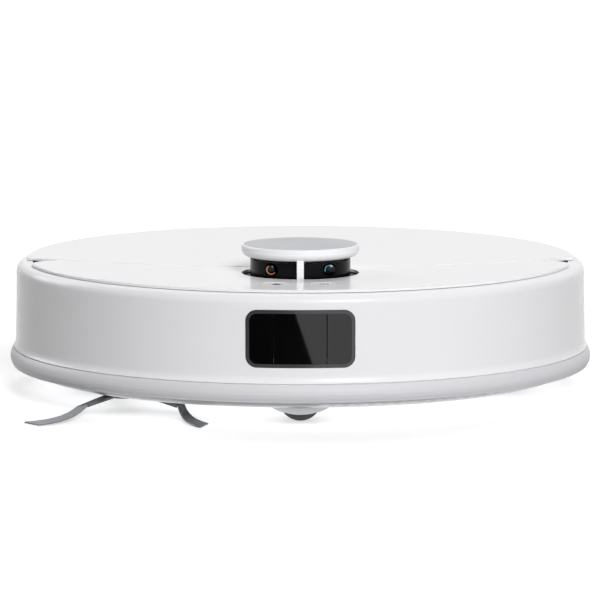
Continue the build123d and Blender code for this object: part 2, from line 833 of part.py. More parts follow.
# Drive units: a hinged gear case with its motor, a pinion and a wheel on each side
gear_outer_radius = gear_pitch_radius + gear_module
pinion_outer_radius = pinion_pitch_radius + gear_module
case_gap = 0.6
gear_near_x = case_inner_x + case_wall + 4.0
line_of_centres = degrees(atan2(pinion_z - wheel_axle_z, pinion_y - wheel_y))
pinion_shaft_radius = 2.0
tyre_inner_x = case_outer_x + 1.0
tyre_edge = 2.5
spoke_count = 6


def gear_points(teeth, turn):
    """Corner points of a straight-sided gear with one tooth pointing along turn degrees."""
    pitch = gear_module * teeth / 2
    half_pitch = pi * gear_module / 4 - gear_backlash / 2
    corners = []
    for tooth in range(teeth):
        middle = radians(turn) + 2 * pi * tooth / teeth
        for radius, half in (
            (pitch - 1.25 * gear_module, half_pitch + 0.32 * gear_module),
            (pitch, half_pitch),
            (pitch + 0.9 * gear_module, half_pitch - 0.36 * gear_module),
        ):
            corners.append((middle - half / radius, radius))
        for radius, half in (
            (pitch + 0.9 * gear_module, half_pitch - 0.36 * gear_module),
            (pitch, half_pitch),
            (pitch - 1.25 * gear_module, half_pitch + 0.32 * gear_module),
        ):
            corners.append((middle + half / radius, radius))
    return [(radius * cos(angle), radius * sin(angle)) for angle, radius in corners]


def drive_case(side):
    """The gear case of one side: hollow towards the wheel, with a boss for the pin it swings on."""
    with BuildPart() as case:
        with BuildSketch(plane_x(side * case_inner_x)):
            with Locations((wheel_y, wheel_axle_z)):
                Circle(gear_outer_radius + case_gap + case_wall)
            with Locations((pivot_y, pivot_z)):
                Circle(pivot_boss_radius)
            with Locations((pinion_y, pinion_z)):
                Circle(pinion_outer_radius + case_gap + case_wall)
            make_hull()
        extrude(amount=side * case_width)
        with BuildSketch(plane_x(side * (case_inner_x + case_wall))):
            with Locations((wheel_y, wheel_axle_z)):
                Circle(gear_outer_radius + case_gap)
            with Locations((pinion_y, pinion_z)):
                Circle(pinion_outer_radius + case_gap)
            make_hull()
        extrude(amount=side * case_width, mode=Mode.SUBTRACT)
        with BuildSketch(plane_x(side * (case_inner_x - 1))):
            with Locations((pivot_y, pivot_z)):
                Circle(pivot_pin_radius + running_clearance)
            with Locations((wheel_y, wheel_axle_z)):
                Circle(wheel_shaft_radius + running_clearance)
            with Locations((pinion_y, pinion_z)):
                Circle(pinion_shaft_radius + running_clearance)
        extrude(amount=side * (case_width + 2), mode=Mode.SUBTRACT)
    return case


def drive_motor(side):
    """The flat motor on the inner face of the gear case, bored for the pinion's shaft."""
    with BuildPart() as motor:
        with BuildSketch(plane_x(side * case_inner_x)):
            with Locations((pinion_y, pinion_z)):
                Circle(wheel_motor_radius)
                Circle(pinion_shaft_radius + running_clearance, mode=Mode.SUBTRACT)
        extrude(amount=-side * (wheel_motor_length - 2))
        with BuildSketch(plane_x(side * (case_inner_x - wheel_motor_length + 2))):
            with Locations((pinion_y, pinion_z)):
                Circle(wheel_motor_radius - 2)
        extrude(amount=-side * 2)
    return motor


def drive_pinion(side):
    """The motor's pinion and its shaft, with a gap between teeth facing the wheel's gear."""
    with BuildPart() as pinion:
        with BuildSketch(plane_x(side * gear_near_x)):
            with Locations((pinion_y, pinion_z)):
                Polygon(*gear_points(pinion_teeth, line_of_centres + 180 + 180 / pinion_teeth), align=None)
        extrude(amount=side * gear_thickness)
        with BuildSketch(plane_x(side * (case_inner_x - 4))):
            with Locations((pinion_y, pinion_z)):
                Circle(pinion_shaft_radius)
        extrude(amount=side * (gear_near_x - case_inner_x + 4))
    return pinion


def drive_rim(side):
    """The wheel's hub: a spoked rim on a shaft that carries the driven gear."""
    with BuildPart() as rim:
        with BuildSketch(plane_x(side * tyre_inner_x)):
            with Locations((wheel_y, wheel_axle_z)):
                Circle(rim_radius)
        extrude(amount=side * wheel_width)
        with BuildSketch(plane_x(side * (tyre_inner_x + 6))):
            with Locations((wheel_y, wheel_axle_z)):
                Circle(rim_radius - 2.4)
                Circle(7, mode=Mode.SUBTRACT)
                with PolarLocations(rim_radius / 2 + 2, spoke_count):
                    Rectangle(rim_radius, 3.0, mode=Mode.SUBTRACT)
        extrude(amount=side * wheel_width, mode=Mode.SUBTRACT)
        with BuildSketch(plane_x(side * gear_near_x)):
            with Locations((wheel_y, wheel_axle_z)):
                Polygon(*gear_points(gear_teeth, line_of_centres), align=None)
        extrude(amount=side * gear_thickness)
        with BuildSketch(plane_x(side * (case_inner_x - 0.5))):
            with Locations((wheel_y, wheel_axle_z)):
                Circle(wheel_shaft_radius)
        extrude(amount=side * (tyre_inner_x - case_inner_x + 0.5))
    return rim


def drive_tyre(side):
    """The rubber tyre, with rounded shoulders and cross grooves."""
    with BuildPart() as tyre:
        with BuildSketch(plane_x(side * tyre_inner_x)):
            with Locations((wheel_y, wheel_axle_z)):
                Circle(wheel_radius)
        extrude(amount=side * wheel_width)
        fillet(tyre.edges(), tyre_edge)
        with BuildSketch(plane_x(side * (tyre_inner_x - 1))):
            with Locations((wheel_y, wheel_axle_z)):
                Circle(rim_radius)
                with PolarLocations(wheel_radius, tread_count):
                    Rectangle(2 * tread_depth, 2.2)
        extrude(amount=side * (wheel_width + 2), mode=Mode.SUBTRACT)
    return tyre


for side_name, side in (("left", -1), ("right", 1)):
    save(drive_case(side), f"{side_name}_gear_case")
    save(drive_motor(side), f"{side_name}_wheel_motor")
    save(drive_pinion(side), f"{side_name}_pinion")
    save(drive_rim(side), f"{side_name}_wheel_hub")
    save(drive_tyre(side), f"{side_name}_tyre")

with BuildPart() as wheel_arm_pins:
    for side in (-1, 1):
        with BuildSketch(plane_x(side * (ear_places[0] - pivot_ear / 2))):
            with Locations((pivot_y, pivot_z)):
                Circle(pivot_pin_radius)
        extrude(amount=side * (ear_places[1] - ear_places[0] + pivot_ear))
save(wheel_arm_pins, "wheel_arm_pins")

# Main rollers: a core with its pins and a finned rubber sleeve each, in a chamber over the floor opening
fin_stations = (-1, 0, 1)


def roller_core(y):
    """A roller's stiff core with a bearing pin at each end."""
    with BuildPart() as core:
        with BuildSketch(plane_x(-roller_length / 2)):
            with Locations((y, roller_axis_z)):
                Circle(roller_core_radius)
        extrude(amount=roller_length)
        with BuildSketch(plane_x(-pin_end)):
            with Locations((y, roller_axis_z)):
                Circle(roller_pin_radius)
        extrude(amount=2 * pin_end)
    return core


def roller_sleeve(y, hand):
    """A roller's rubber sleeve, whose fins lean one way to the middle and back again as a chevron."""
    with BuildPart() as sleeve:
        with BuildSketch(plane_x(-roller_length / 2)):
            with Locations((y, roller_axis_z)):
                Circle(roller_tube_radius)
        extrude(amount=roller_length)
        for fin in range(roller_fin_count):
            for station in fin_stations:
                turn = 360 * fin / roller_fin_count + hand * roller_twist * (1 - abs(station))
                spot = Plane(
                    origin=(station * roller_length / 2, y, roller_axis_z),
                    x_dir=(0, cos(radians(turn)), sin(radians(turn))),
                    z_dir=(1, 0, 0),
                )
                with BuildSketch(spot):
                    with Locations(((roller_radius + roller_tube_radius) / 2 - 0.5, 0)):
                        Rectangle(roller_radius - roller_tube_radius + 1.0, roller_fin_thickness)
            loft(ruled=True)
        with BuildSketch(plane_x(-roller_length / 2)):
            with Locations((y, roller_axis_z)):
                Circle(roller_core_radius)
        extrude(amount=roller_length, mode=Mode.SUBTRACT)
    return sleeve


for roller_name, roller_y, hand in zip(("front", "rear"), roller_ys, (1, -1)):
    save(roller_core(roller_y), f"{roller_name}_roller_core")
    save(roller_sleeve(roller_y, hand), f"{roller_name}_roller_sleeve")

with BuildPart() as roller_chamber:
    with BuildSketch(Plane.XY.offset(pan_floor_top)):
        with Locations((0, (chamber_front + chamber_back) / 2)):
            Rectangle(
                2 * (chamber_half_length + chamber_wall), chamber_back - chamber_front + 2 * chamber_wall
            )
    extrude(amount=chamber_top + chamber_wall - pan_floor_top)
    with BuildSketch(Plane.XY.offset(pan_floor_top)):
        with Locations((0, (chamber_front + chamber_back) / 2)):
            Rectangle(2 * chamber_half_length, chamber_back - chamber_front)
    extrude(amount=chamber_top - pan_floor_top, mode=Mode.SUBTRACT)
    with BuildSketch(plane_x(-chamber_half_length - chamber_wall - 1)):
        with Locations(*[(y, roller_axis_z) for y in roller_ys]):
            Circle(roller_pin_radius + running_clearance)
    extrude(amount=2 * (chamber_half_length + chamber_wall + 1), mode=Mode.SUBTRACT)
    with BuildSketch(plane_y(chamber_back + chamber_wall + 1)):
        with Locations((duct_x, duct_z)):
            Rectangle(duct_width - 2 * duct_wall, duct_height - 2 * duct_wall)
    extrude(amount=chamber_wall + 2, mode=Mode.SUBTRACT)
save(roller_chamber, "roller_chamber")

with BuildPart() as roller_guard:
    with BuildSketch(Plane.XY.offset(ground_clearance - guard_thickness)):
        with Locations((0, (chamber_front + chamber_back) / 2)):
            RectangleRounded(
                2 * (chamber_half_length + guard_frame), chamber_back - chamber_front + 2 * guard_frame, 4
            )
            Rectangle(2 * chamber_half_length, chamber_back - chamber_front, mode=Mode.SUBTRACT)
    extrude(amount=guard_thickness)
save(roller_guard, "roller_guard")

with BuildPart() as suction_duct:
    with BuildSketch(plane_y(bin_front)):
        with Locations((duct_x, duct_z)):
            Rectangle(duct_width, duct_height)
            Rectangle(duct_width - 2 * duct_wall, duct_height - 2 * duct_wall, mode=Mode.SUBTRACT)
    extrude(amount=bin_front - chamber_back - chamber_wall)
save(suction_duct, "suction_duct")

with BuildPart() as brush_motor:
    with BuildSketch(plane_x(brush_motor_x)):
        with Locations((brush_motor_y, chamber_top + chamber_wall + brush_motor_radius + 1)):
            Circle(brush_motor_radius)
        with Locations((brush_motor_y, chamber_top + chamber_wall + brush_motor_radius / 2)):
            Rectangle(1.4 * brush_motor_radius, brush_motor_radius)
    extrude(amount=brush_motor_length)
save(brush_motor, "brush_motor")

# Front caster: a swivelling dome round a crowned wheel
caster_crown_z = cup_top - 1.0
caster_wheel_y = caster_y + caster_trail
caster_slot = caster_wheel_width / 2 + 0.5
caster_axle_end = 13.6
with BuildPart() as caster_fork:
    with BuildSketch(plane_y(caster_y)):
        with BuildLine():
            ThreePointArc(
                (0, caster_dome_foot),
                (0.68 * caster_dome_radius, caster_dome_foot + 0.35 * caster_dome_rise),
                (caster_dome_radius, caster_dome_foot + caster_dome_rise),
            )
            Polyline(
                (caster_dome_radius, caster_dome_foot + caster_dome_rise),
                (caster_dome_radius, caster_crown_z),
                (caster_stem_radius, caster_crown_z),
                (caster_stem_radius, stem_top - 0.5),
                (0, stem_top - 0.5),
                (0, caster_dome_foot),
            )
        make_face()
    revolve(axis=Axis((0, caster_y, 0), (0, 0, 1)))
    with BuildSketch(plane_x(-caster_slot)):
        with Locations((caster_wheel_y, caster_wheel_radius)):
            Circle(caster_wheel_radius + 0.8)
    extrude(amount=2 * caster_slot, mode=Mode.SUBTRACT)
    with BuildSketch(plane_x(-caster_axle_end)):
        with Locations((caster_wheel_y, caster_wheel_radius)):
            Circle(caster_axle_radius + running_clearance)
    extrude(amount=2 * caster_axle_end, mode=Mode.SUBTRACT)
save(caster_fork, "caster_fork")

with BuildPart() as caster_wheel:
    with BuildSketch(Plane.XY.offset(caster_wheel_radius)):
        with BuildLine():
            ThreePointArc(
                (-caster_wheel_width / 2, caster_wheel_y + caster_wheel_edge),
                (0, caster_wheel_y + caster_wheel_radius),
                (caster_wheel_width / 2, caster_wheel_y + caster_wheel_edge),
            )
            Polyline(
                (caster_wheel_width / 2, caster_wheel_y + caster_wheel_edge),
                (caster_wheel_width / 2, caster_wheel_y + caster_axle_radius),
                (caster_axle_end - 0.2, caster_wheel_y + caster_axle_radius),
                (caster_axle_end - 0.2, caster_wheel_y),
                (-caster_axle_end + 0.2, caster_wheel_y),
                (-caster_axle_end + 0.2, caster_wheel_y + caster_axle_radius),
                (-caster_wheel_width / 2, caster_wheel_y + caster_axle_radius),
                (-caster_wheel_width / 2, caster_wheel_y + caster_wheel_edge),
            )
        make_face()
    revolve(axis=Axis((0, caster_wheel_y, caster_wheel_radius), (1, 0, 0)))
save(caster_wheel, "caster_wheel")

# Side brush: a geared hub under the pan, three rubber arms and their bristles
brush_hub_top = ground_clearance - 0.4
brush_shaft_radius = 3.0
brush_gearbox_radius = 14.0
brush_gearbox_height = 24.0
arm_root = brush_hub_radius + 1.0
arm_width = 11.0
arm_thickness = 1.5
arm_tip_z = 5.6
backing_length = 3.0
bristle_tip_z = 0.7
bristle_rise = 0.87
bristle_spread = 24.0
strand_bite = 0.6
strand_margin = 0.3
with BuildPart() as side_brush_gearbox:
    with BuildSketch(Plane.XY.offset(pan_floor_top)):
        with Locations((brush_x, brush_y)):
            Circle(brush_gearbox_radius)
    extrude(amount=brush_gearbox_height)
    with BuildSketch(Plane.XY.offset(pan_floor_top)):
        with Locations((brush_x, brush_y)):
            Circle(brush_shaft_radius + running_clearance)
    extrude(amount=brush_gearbox_height - 3, mode=Mode.SUBTRACT)
save(side_brush_gearbox, "side_brush_gearbox")

with BuildPart() as side_brush_hub:
    with BuildSketch(Plane.XY.offset(brush_hub_bottom)):
        with Locations((brush_x, brush_y)):
            Circle(brush_hub_radius)
    extrude(amount=brush_hub_top - brush_hub_bottom)
    with BuildSketch(Plane.XY.offset(brush_hub_top)):
        with Locations((brush_x, brush_y)):
            Circle(brush_shaft_radius)
    extrude(amount=pan_floor_top + brush_gearbox_height - 3.5 - brush_hub_top)
    with BuildSketch(Plane.XY.offset(brush_hub_bottom)):
        with Locations((brush_x, brush_y)):
            Circle(screw_head_radius + 0.4)
    extrude(amount=0.9, mode=Mode.SUBTRACT)
save(side_brush_hub, "side_brush_hub")


def arm_station(angle, radius, height, tilt):
    """A plane across a brush arm at one radius, tilted about the arm's own line."""
    outward = (cos(radians(angle)), sin(radians(angle)), 0)
    turn, lean = radians(angle), radians(tilt)
    across = (-sin(turn) * cos(lean), cos(turn) * cos(lean), sin(lean))
    return Plane(
        origin=(brush_x + radius * outward[0], brush_y + radius * outward[1], height),
        x_dir=across,
        z_dir=outward,
    )


arm_angles = [brush_arm_angle + 360 * n / brush_arm_count for n in range(brush_arm_count)]
hub_middle_z = (brush_hub_bottom + brush_hub_top) / 2
arm_tilt = 12.0
with BuildPart() as side_brush_arms:
    with BuildSketch(Plane.XY.offset(brush_hub_bottom)):
        with Locations((brush_x, brush_y)):
            Circle(brush_hub_radius + 2.0)
            Circle(brush_hub_radius, mode=Mode.SUBTRACT)
    extrude(amount=brush_hub_top - brush_hub_bottom)
    for angle in arm_angles:
        with BuildSketch(arm_station(angle, arm_root, hub_middle_z, 0)):
            Rectangle(0.7 * arm_width, arm_thickness)
        with BuildSketch(arm_station(angle, brush_arm_reach - backing_length, arm_tip_z, arm_tilt)):
            Rectangle(arm_width, arm_thickness)
        loft(ruled=True)
save(side_brush_arms, "side_brush_arms")


def bristle_strands(angle):
    """One arm's bristles: rows of three-sided strands that spread outwards and down to the floor."""
    root_plane = arm_station(angle, brush_arm_reach - strand_bite, arm_tip_z, arm_tilt)
    tip_plane = arm_station(angle, brush_reach, bristle_tip_z, 0)
    strands = []
    for column in range(strands_across):
        for row in range(strands_deep):
            across = (column + 0.5) / strands_across - 0.5
            deep = (row + 0.5) / strands_deep - 0.5
            u, v = across * (arm_width - 2 * strand_margin), deep * (arm_thickness - strand_margin)
            root = root_plane.from_local_coords((u, v, 0))
            tip = tip_plane.from_local_coords((across * bristle_spread, deep * bristle_rise, 0))
            corners = [
                root_plane.from_local_coords(
                    (u + strand_width * sin(2 * pi * k / 3), v + strand_height * cos(2 * pi * k / 3), 0)
                )
                for k in range(3)
            ]
            strands.append(Solid.extrude(Face(Wire.make_polygon(corners)), tip - root))
    return strands


with BuildPart() as side_brush_bristles:
    for angle in arm_angles:
        with BuildSketch(arm_station(angle, brush_arm_reach - backing_length, arm_tip_z, arm_tilt)):
            Rectangle(arm_width, arm_thickness)
        extrude(amount=backing_length)
    add([strand for angle in arm_angles for strand in bristle_strands(angle)])
save(side_brush_bristles, "side_brush_bristles")

# Dust bin with its cover, the pleated filter beside it and the suction fan
bin_place = ((bin_left + bin_right) / 2, (bin_front + bin_back) / 2)
bin_length = bin_right - bin_left
bin_depth = bin_back - bin_front
cover_thickness = 2.4
handle_rise = 6.0
filter_length = 50.0
filter_height = 38.0
filter_z = 40.0
filter_frame = 3.0
pleat_thickness = 0.9
with BuildPart() as dustbin_tub:
    with BuildSketch(Plane.XY.offset(bin_foot)):
        with Locations(bin_place):
            RectangleRounded(bin_length, bin_depth, bin_corner)
    extrude(amount=bin_top - bin_foot)
    with BuildSketch(Plane.XY.offset(bin_foot + bin_wall)):
        with Locations(bin_place):
            RectangleRounded(bin_length - 2 * bin_wall, bin_depth - 2 * bin_wall, bin_corner - bin_wall)
    extrude(amount=bin_top, mode=Mode.SUBTRACT)
    with BuildSketch(plane_y(bin_front + bin_wall + 1)):
        with Locations((duct_x, duct_z)):
            Rectangle(duct_width - 2 * duct_wall, duct_height - 2 * duct_wall)
    extrude(amount=bin_wall + 2, mode=Mode.SUBTRACT)
    with BuildSketch(plane_x(bin_right - bin_wall - 1)):
        with Locations((fan_y, filter_z)):
            Rectangle(filter_length - 2 * filter_frame, filter_height - 2 * filter_frame)
    extrude(amount=bin_wall + 2, mode=Mode.SUBTRACT)
save(dustbin_tub, "dustbin_tub")

with BuildPart() as dustbin_cover:
    with BuildSketch(Plane.XY.offset(bin_top)):
        with Locations(bin_place):
            RectangleRounded(bin_length, bin_depth, bin_corner)
    extrude(amount=cover_thickness)
    with BuildSketch(plane_y(bin_place[1] + 4)):
        with Locations((bin_place[0], bin_top + cover_thickness)):
            SlotOverall(50, 2 * handle_rise)
            SlotOverall(42, 2 * handle_rise - 5, mode=Mode.SUBTRACT)
            with Locations((0, -handle_rise)):
                Rectangle(60, 2 * handle_rise, mode=Mode.SUBTRACT)
    extrude(amount=8)
save(dustbin_cover, "dustbin_cover")

pleat_span = filter_length - 2 * filter_frame
pleat_step = pleat_span / (2 * filter_pleats)
pleat_ys = [fan_y - pleat_span / 2 + pleat_step * n for n in range(2 * filter_pleats + 1)]
pleat_xs = [bin_right + (1.5 if n % 2 else filter_thickness - 2.5) for n in range(2 * filter_pleats + 1)]
pleat_front = list(zip(pleat_xs, pleat_ys))
pleat_back = [(x + pleat_thickness, y) for x, y in reversed(pleat_front)]
with BuildPart() as hepa_filter:
    with BuildSketch(plane_x(bin_right)):
        with Locations((fan_y, filter_z)):
            RectangleRounded(filter_length, filter_height, 3.0)
            Rectangle(pleat_span, filter_height - 2 * filter_frame, mode=Mode.SUBTRACT)
    extrude(amount=filter_thickness)
    with BuildSketch(Plane.XY.offset(filter_z - filter_height / 2 + filter_frame / 2)):
        Polygon(*pleat_front, *pleat_back, align=None)
    extrude(amount=filter_height - filter_frame)
save(hepa_filter, "hepa_filter")

fan_wall = 2.4
fan_chamber_top = 38.0
impeller_bottom = pan_floor_top + fan_wall + 1.6
impeller_height = 15.0
fan_shaft_radius = 2.0
intake_x = bin_right + filter_thickness
with BuildPart() as fan_housing:
    with BuildSketch(Plane.XY.offset(pan_floor_top)):
        with Locations((fan_x, fan_y)):
            Circle(fan_radius)
    extrude(amount=fan_height)
    with BuildSketch(plane_x(intake_x)):
        with Locations((fan_y, filter_z)):
            Rectangle(filter_length - 6, filter_height - 8)
    extrude(amount=fan_x - fan_radius / 2 - intake_x)
    with BuildSketch(Plane.XY.offset(pan_floor_top + fan_wall)):
        with Locations((fan_x, fan_y)):
            Circle(fan_radius - fan_wall)
    extrude(amount=fan_chamber_top - pan_floor_top - fan_wall, mode=Mode.SUBTRACT)
    with BuildSketch(plane_x(intake_x)):
        with Locations((fan_y, filter_z)):
            Rectangle(filter_length - 11, filter_height - 13)
    extrude(amount=fan_x - fan_radius - intake_x + 4, mode=Mode.SUBTRACT)
    with BuildSketch(Plane.XY.offset(fan_chamber_top)):
        with Locations((fan_x, fan_y)):
            Circle(fan_shaft_radius + running_clearance)
    extrude(amount=12, mode=Mode.SUBTRACT)
    with BuildSketch(plane_y(fan_y + fan_radius + 2)):
        with Locations((fan_x + 6, impeller_bottom + impeller_height / 2)):
            Rectangle(18, 12)
    extrude(amount=12, mode=Mode.SUBTRACT)
save(fan_housing, "fan_housing")

with BuildPart() as impeller:
    with BuildSketch(Plane.XY.offset(impeller_bottom)):
        with Locations((fan_x, fan_y)):
            Circle(impeller_radius)
    extrude(amount=2)
    with BuildSketch(Plane.XY.offset(impeller_bottom)):
        with Locations((fan_x, fan_y)):
            Circle(impeller_radius / 4)
            with PolarLocations(0.58 * impeller_radius, impeller_blades):
                Rectangle(0.76 * impeller_radius, 1.2, rotation=24)
    extrude(amount=impeller_height)
    with BuildSketch(Plane.XY.offset(impeller_bottom + impeller_height)):
        with Locations((fan_x, fan_y)):
            Circle(fan_shaft_radius)
    extrude(amount=fan_chamber_top + 10 - impeller_bottom - impeller_height)
save(impeller, "impeller")

# Battery, main board and speaker
board_length = 2 * abs(board_posts[0][0]) + 8
board_depth = 48.0
chips = (
    (-40.0, -8.0, 16.0, 16.0),
    (-8.0, 6.0, 12.0, 12.0),
    (26.0, -6.0, 20.0, 14.0),
    (56.0, 8.0, 10.0, 18.0),
)
chip_height = 2.4
speaker_place = (100.0, -98.0)
speaker_radius = 18.0
speaker_height = 9.0
with BuildPart() as battery_pack:
    with BuildSketch(Plane.XY.offset(pan_floor_top)):
        with Locations((0, battery_y)):
            RectangleRounded(battery_width, battery_depth, 4.0)
    extrude(amount=battery_height)
    fillet(battery_pack.faces().sort_by(Axis.Z)[-1].edges(), 1.5)
save(battery_pack, "battery_pack")

with BuildPart() as main_board:
    with BuildSketch(Plane.XY.offset(board_z)):
        with Locations((0, battery_y)):
            RectangleRounded(board_length, board_depth, 3.0)
    extrude(amount=board_thickness)
    with BuildSketch(Plane.XY.offset(board_z + board_thickness)):
        for chip_x, chip_y, chip_length, chip_width in chips:
            with Locations((chip_x, battery_y + chip_y)):
                Rectangle(chip_length, chip_width)
    extrude(amount=chip_height)
save(main_board, "main_board")

with BuildPart() as speaker:
    with BuildSketch(Plane.XY.offset(pan_floor_top)):
        with Locations(speaker_place):
            Circle(speaker_radius)
    extrude(amount=speaker_height)
    with BuildSketch(Plane.XY.offset(pan_floor_top + speaker_height)):
        with Locations(speaker_place):
            Circle(speaker_radius - 3)
    extrude(amount=-2.5, taper=30, mode=Mode.SUBTRACT)
save(speaker, "speaker")
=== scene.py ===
"""Looks of a round white robot vacuum: finishes, fine pieces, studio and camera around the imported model."""

import logging
import math
from dataclasses import dataclass
from enum import Enum
from typing import Any

import bmesh
import bpy
from mathutils import Matrix, Vector


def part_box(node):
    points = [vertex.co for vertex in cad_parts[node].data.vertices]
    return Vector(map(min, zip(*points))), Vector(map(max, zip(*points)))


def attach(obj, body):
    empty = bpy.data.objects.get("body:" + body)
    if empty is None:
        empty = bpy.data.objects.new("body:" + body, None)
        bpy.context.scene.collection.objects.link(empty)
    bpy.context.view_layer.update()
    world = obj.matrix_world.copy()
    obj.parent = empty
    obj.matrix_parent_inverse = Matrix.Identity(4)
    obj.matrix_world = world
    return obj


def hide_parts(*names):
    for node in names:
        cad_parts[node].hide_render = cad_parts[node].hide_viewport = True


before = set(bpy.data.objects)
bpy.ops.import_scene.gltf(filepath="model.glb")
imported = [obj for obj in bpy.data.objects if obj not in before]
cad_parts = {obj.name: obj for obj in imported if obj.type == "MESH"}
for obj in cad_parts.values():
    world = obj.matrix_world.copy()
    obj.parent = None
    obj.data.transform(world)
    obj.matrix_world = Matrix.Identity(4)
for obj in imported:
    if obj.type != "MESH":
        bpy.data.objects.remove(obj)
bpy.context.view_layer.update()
# Metres in a millimetre, and how near two vertices are merged
MM: float = 0.001
MERGE: float = 0.001 * MM
ORIGIN: tuple[float, float, float] = (0.0, 0.0, 0.0)
WHITE: tuple[float, float, float, float] = (1.0, 1.0, 1.0, 1.0)
# What the finishes share: the stretch of brushed lines, the span of a noise, least roughness and bump
EVEN: tuple[float, float, float] = (1.0, 1.0, 1.0)
BRUSH_STRETCH: tuple[float, float, float] = (0.06, 1.0, 1.0)
DRIFT_LOW: float = 0.3
DRIFT_HIGH: float = 0.7
LEAST_ROUGHNESS: float = 0.02
BUMP_STRENGTH: float = 0.6
log = logging.getLogger("robot_vacuum")


def linear(hex_colour: str) -> tuple[float, float, float, float]:
    """Turn an sRGB hex colour into the linear colour that shaders take.

    Args:
        hex_colour: six hex digits with a leading hash.

    Returns:
        Red, green, blue and alpha.
    """
    parts = [int(hex_colour[k : k + 2], 16) / 255 for k in (1, 3, 5)]
    red, green, blue = [p / 12.92 if p <= 0.04045 else ((p + 0.055) / 1.055) ** 2.4 for p in parts]
    return red, green, blue, 1.0


def add_node(
    tree: bpy.types.NodeTree,
    kind: str,
    settings: dict[str, Any] | None = None,
    links: dict[str | int, bpy.types.NodeSocket] | None = None,
    **values: Any,
) -> bpy.types.Node:
    """Add one node with its settings, its input values and its links.

    Args:
        tree: the node tree that takes the node.
        kind: the node's type name.
        settings: properties of the node itself.
        links: sockets to link, by input name or number.
        values: input values, with underscores for spaces in the names.

    Returns:
        The new node.
    """
    node = tree.nodes.new(kind)
    for name, value in (settings or {}).items():
        setattr(node, name, value)
    for name, value in values.items():
        node.inputs[name.replace("_", " ")].default_value = value
    for name, socket in (links or {}).items():
        tree.links.new(socket, node.inputs[name])
    return node


def blank_material(name: str) -> bpy.types.Material:
    """Make a material whose node tree is empty.

    Args:
        name: the material's name.

    Returns:
        The new material.
    """
    made = bpy.data.materials.new(name)
    made.use_nodes = True
    made.node_tree.nodes.clear()
    return made


def add_object(name: str, form: bmesh.types.BMesh, made: bpy.types.Material) -> bpy.types.Object:
    """Turn a finished bmesh into an object of the scene.

    Args:
        name: the object's name.
        form: its shape, in metres in the model's frame; it is freed here.
        made: the material it takes.

    Returns:
        The new object.
    """
    mesh = bpy.data.meshes.new(name)
    form.to_mesh(mesh)
    form.free()
    mesh.materials.append(made)
    thing = bpy.data.objects.new(name, mesh)
    bpy.context.scene.collection.objects.link(thing)
    return thing


def rotate(form: bmesh.types.BMesh, verts: list[bmesh.types.BMVert], degrees: float, axis: str) -> None:
    """Turn vertices about an axis through the origin.

    Args:
        form: the shape that holds the vertices.
        verts: the vertices to turn.
        degrees: how far to turn them.
        axis: X, Y or Z.
    """
    matrix = Matrix.Rotation(math.radians(degrees), 3, axis)
    bmesh.ops.rotate(form, cent=ORIGIN, matrix=matrix, verts=verts)


class Surface(Enum):
    """How a surface was made, which decides the pattern that shows on it."""

    POLISHED = "polished mould"
    GRAINED = "spark-eroded mould"
    BRUSHED = "brushed metal"
    SOFT = "moulded rubber"
    PAPER = "pressed fibre"
    BOARD = "etched board"


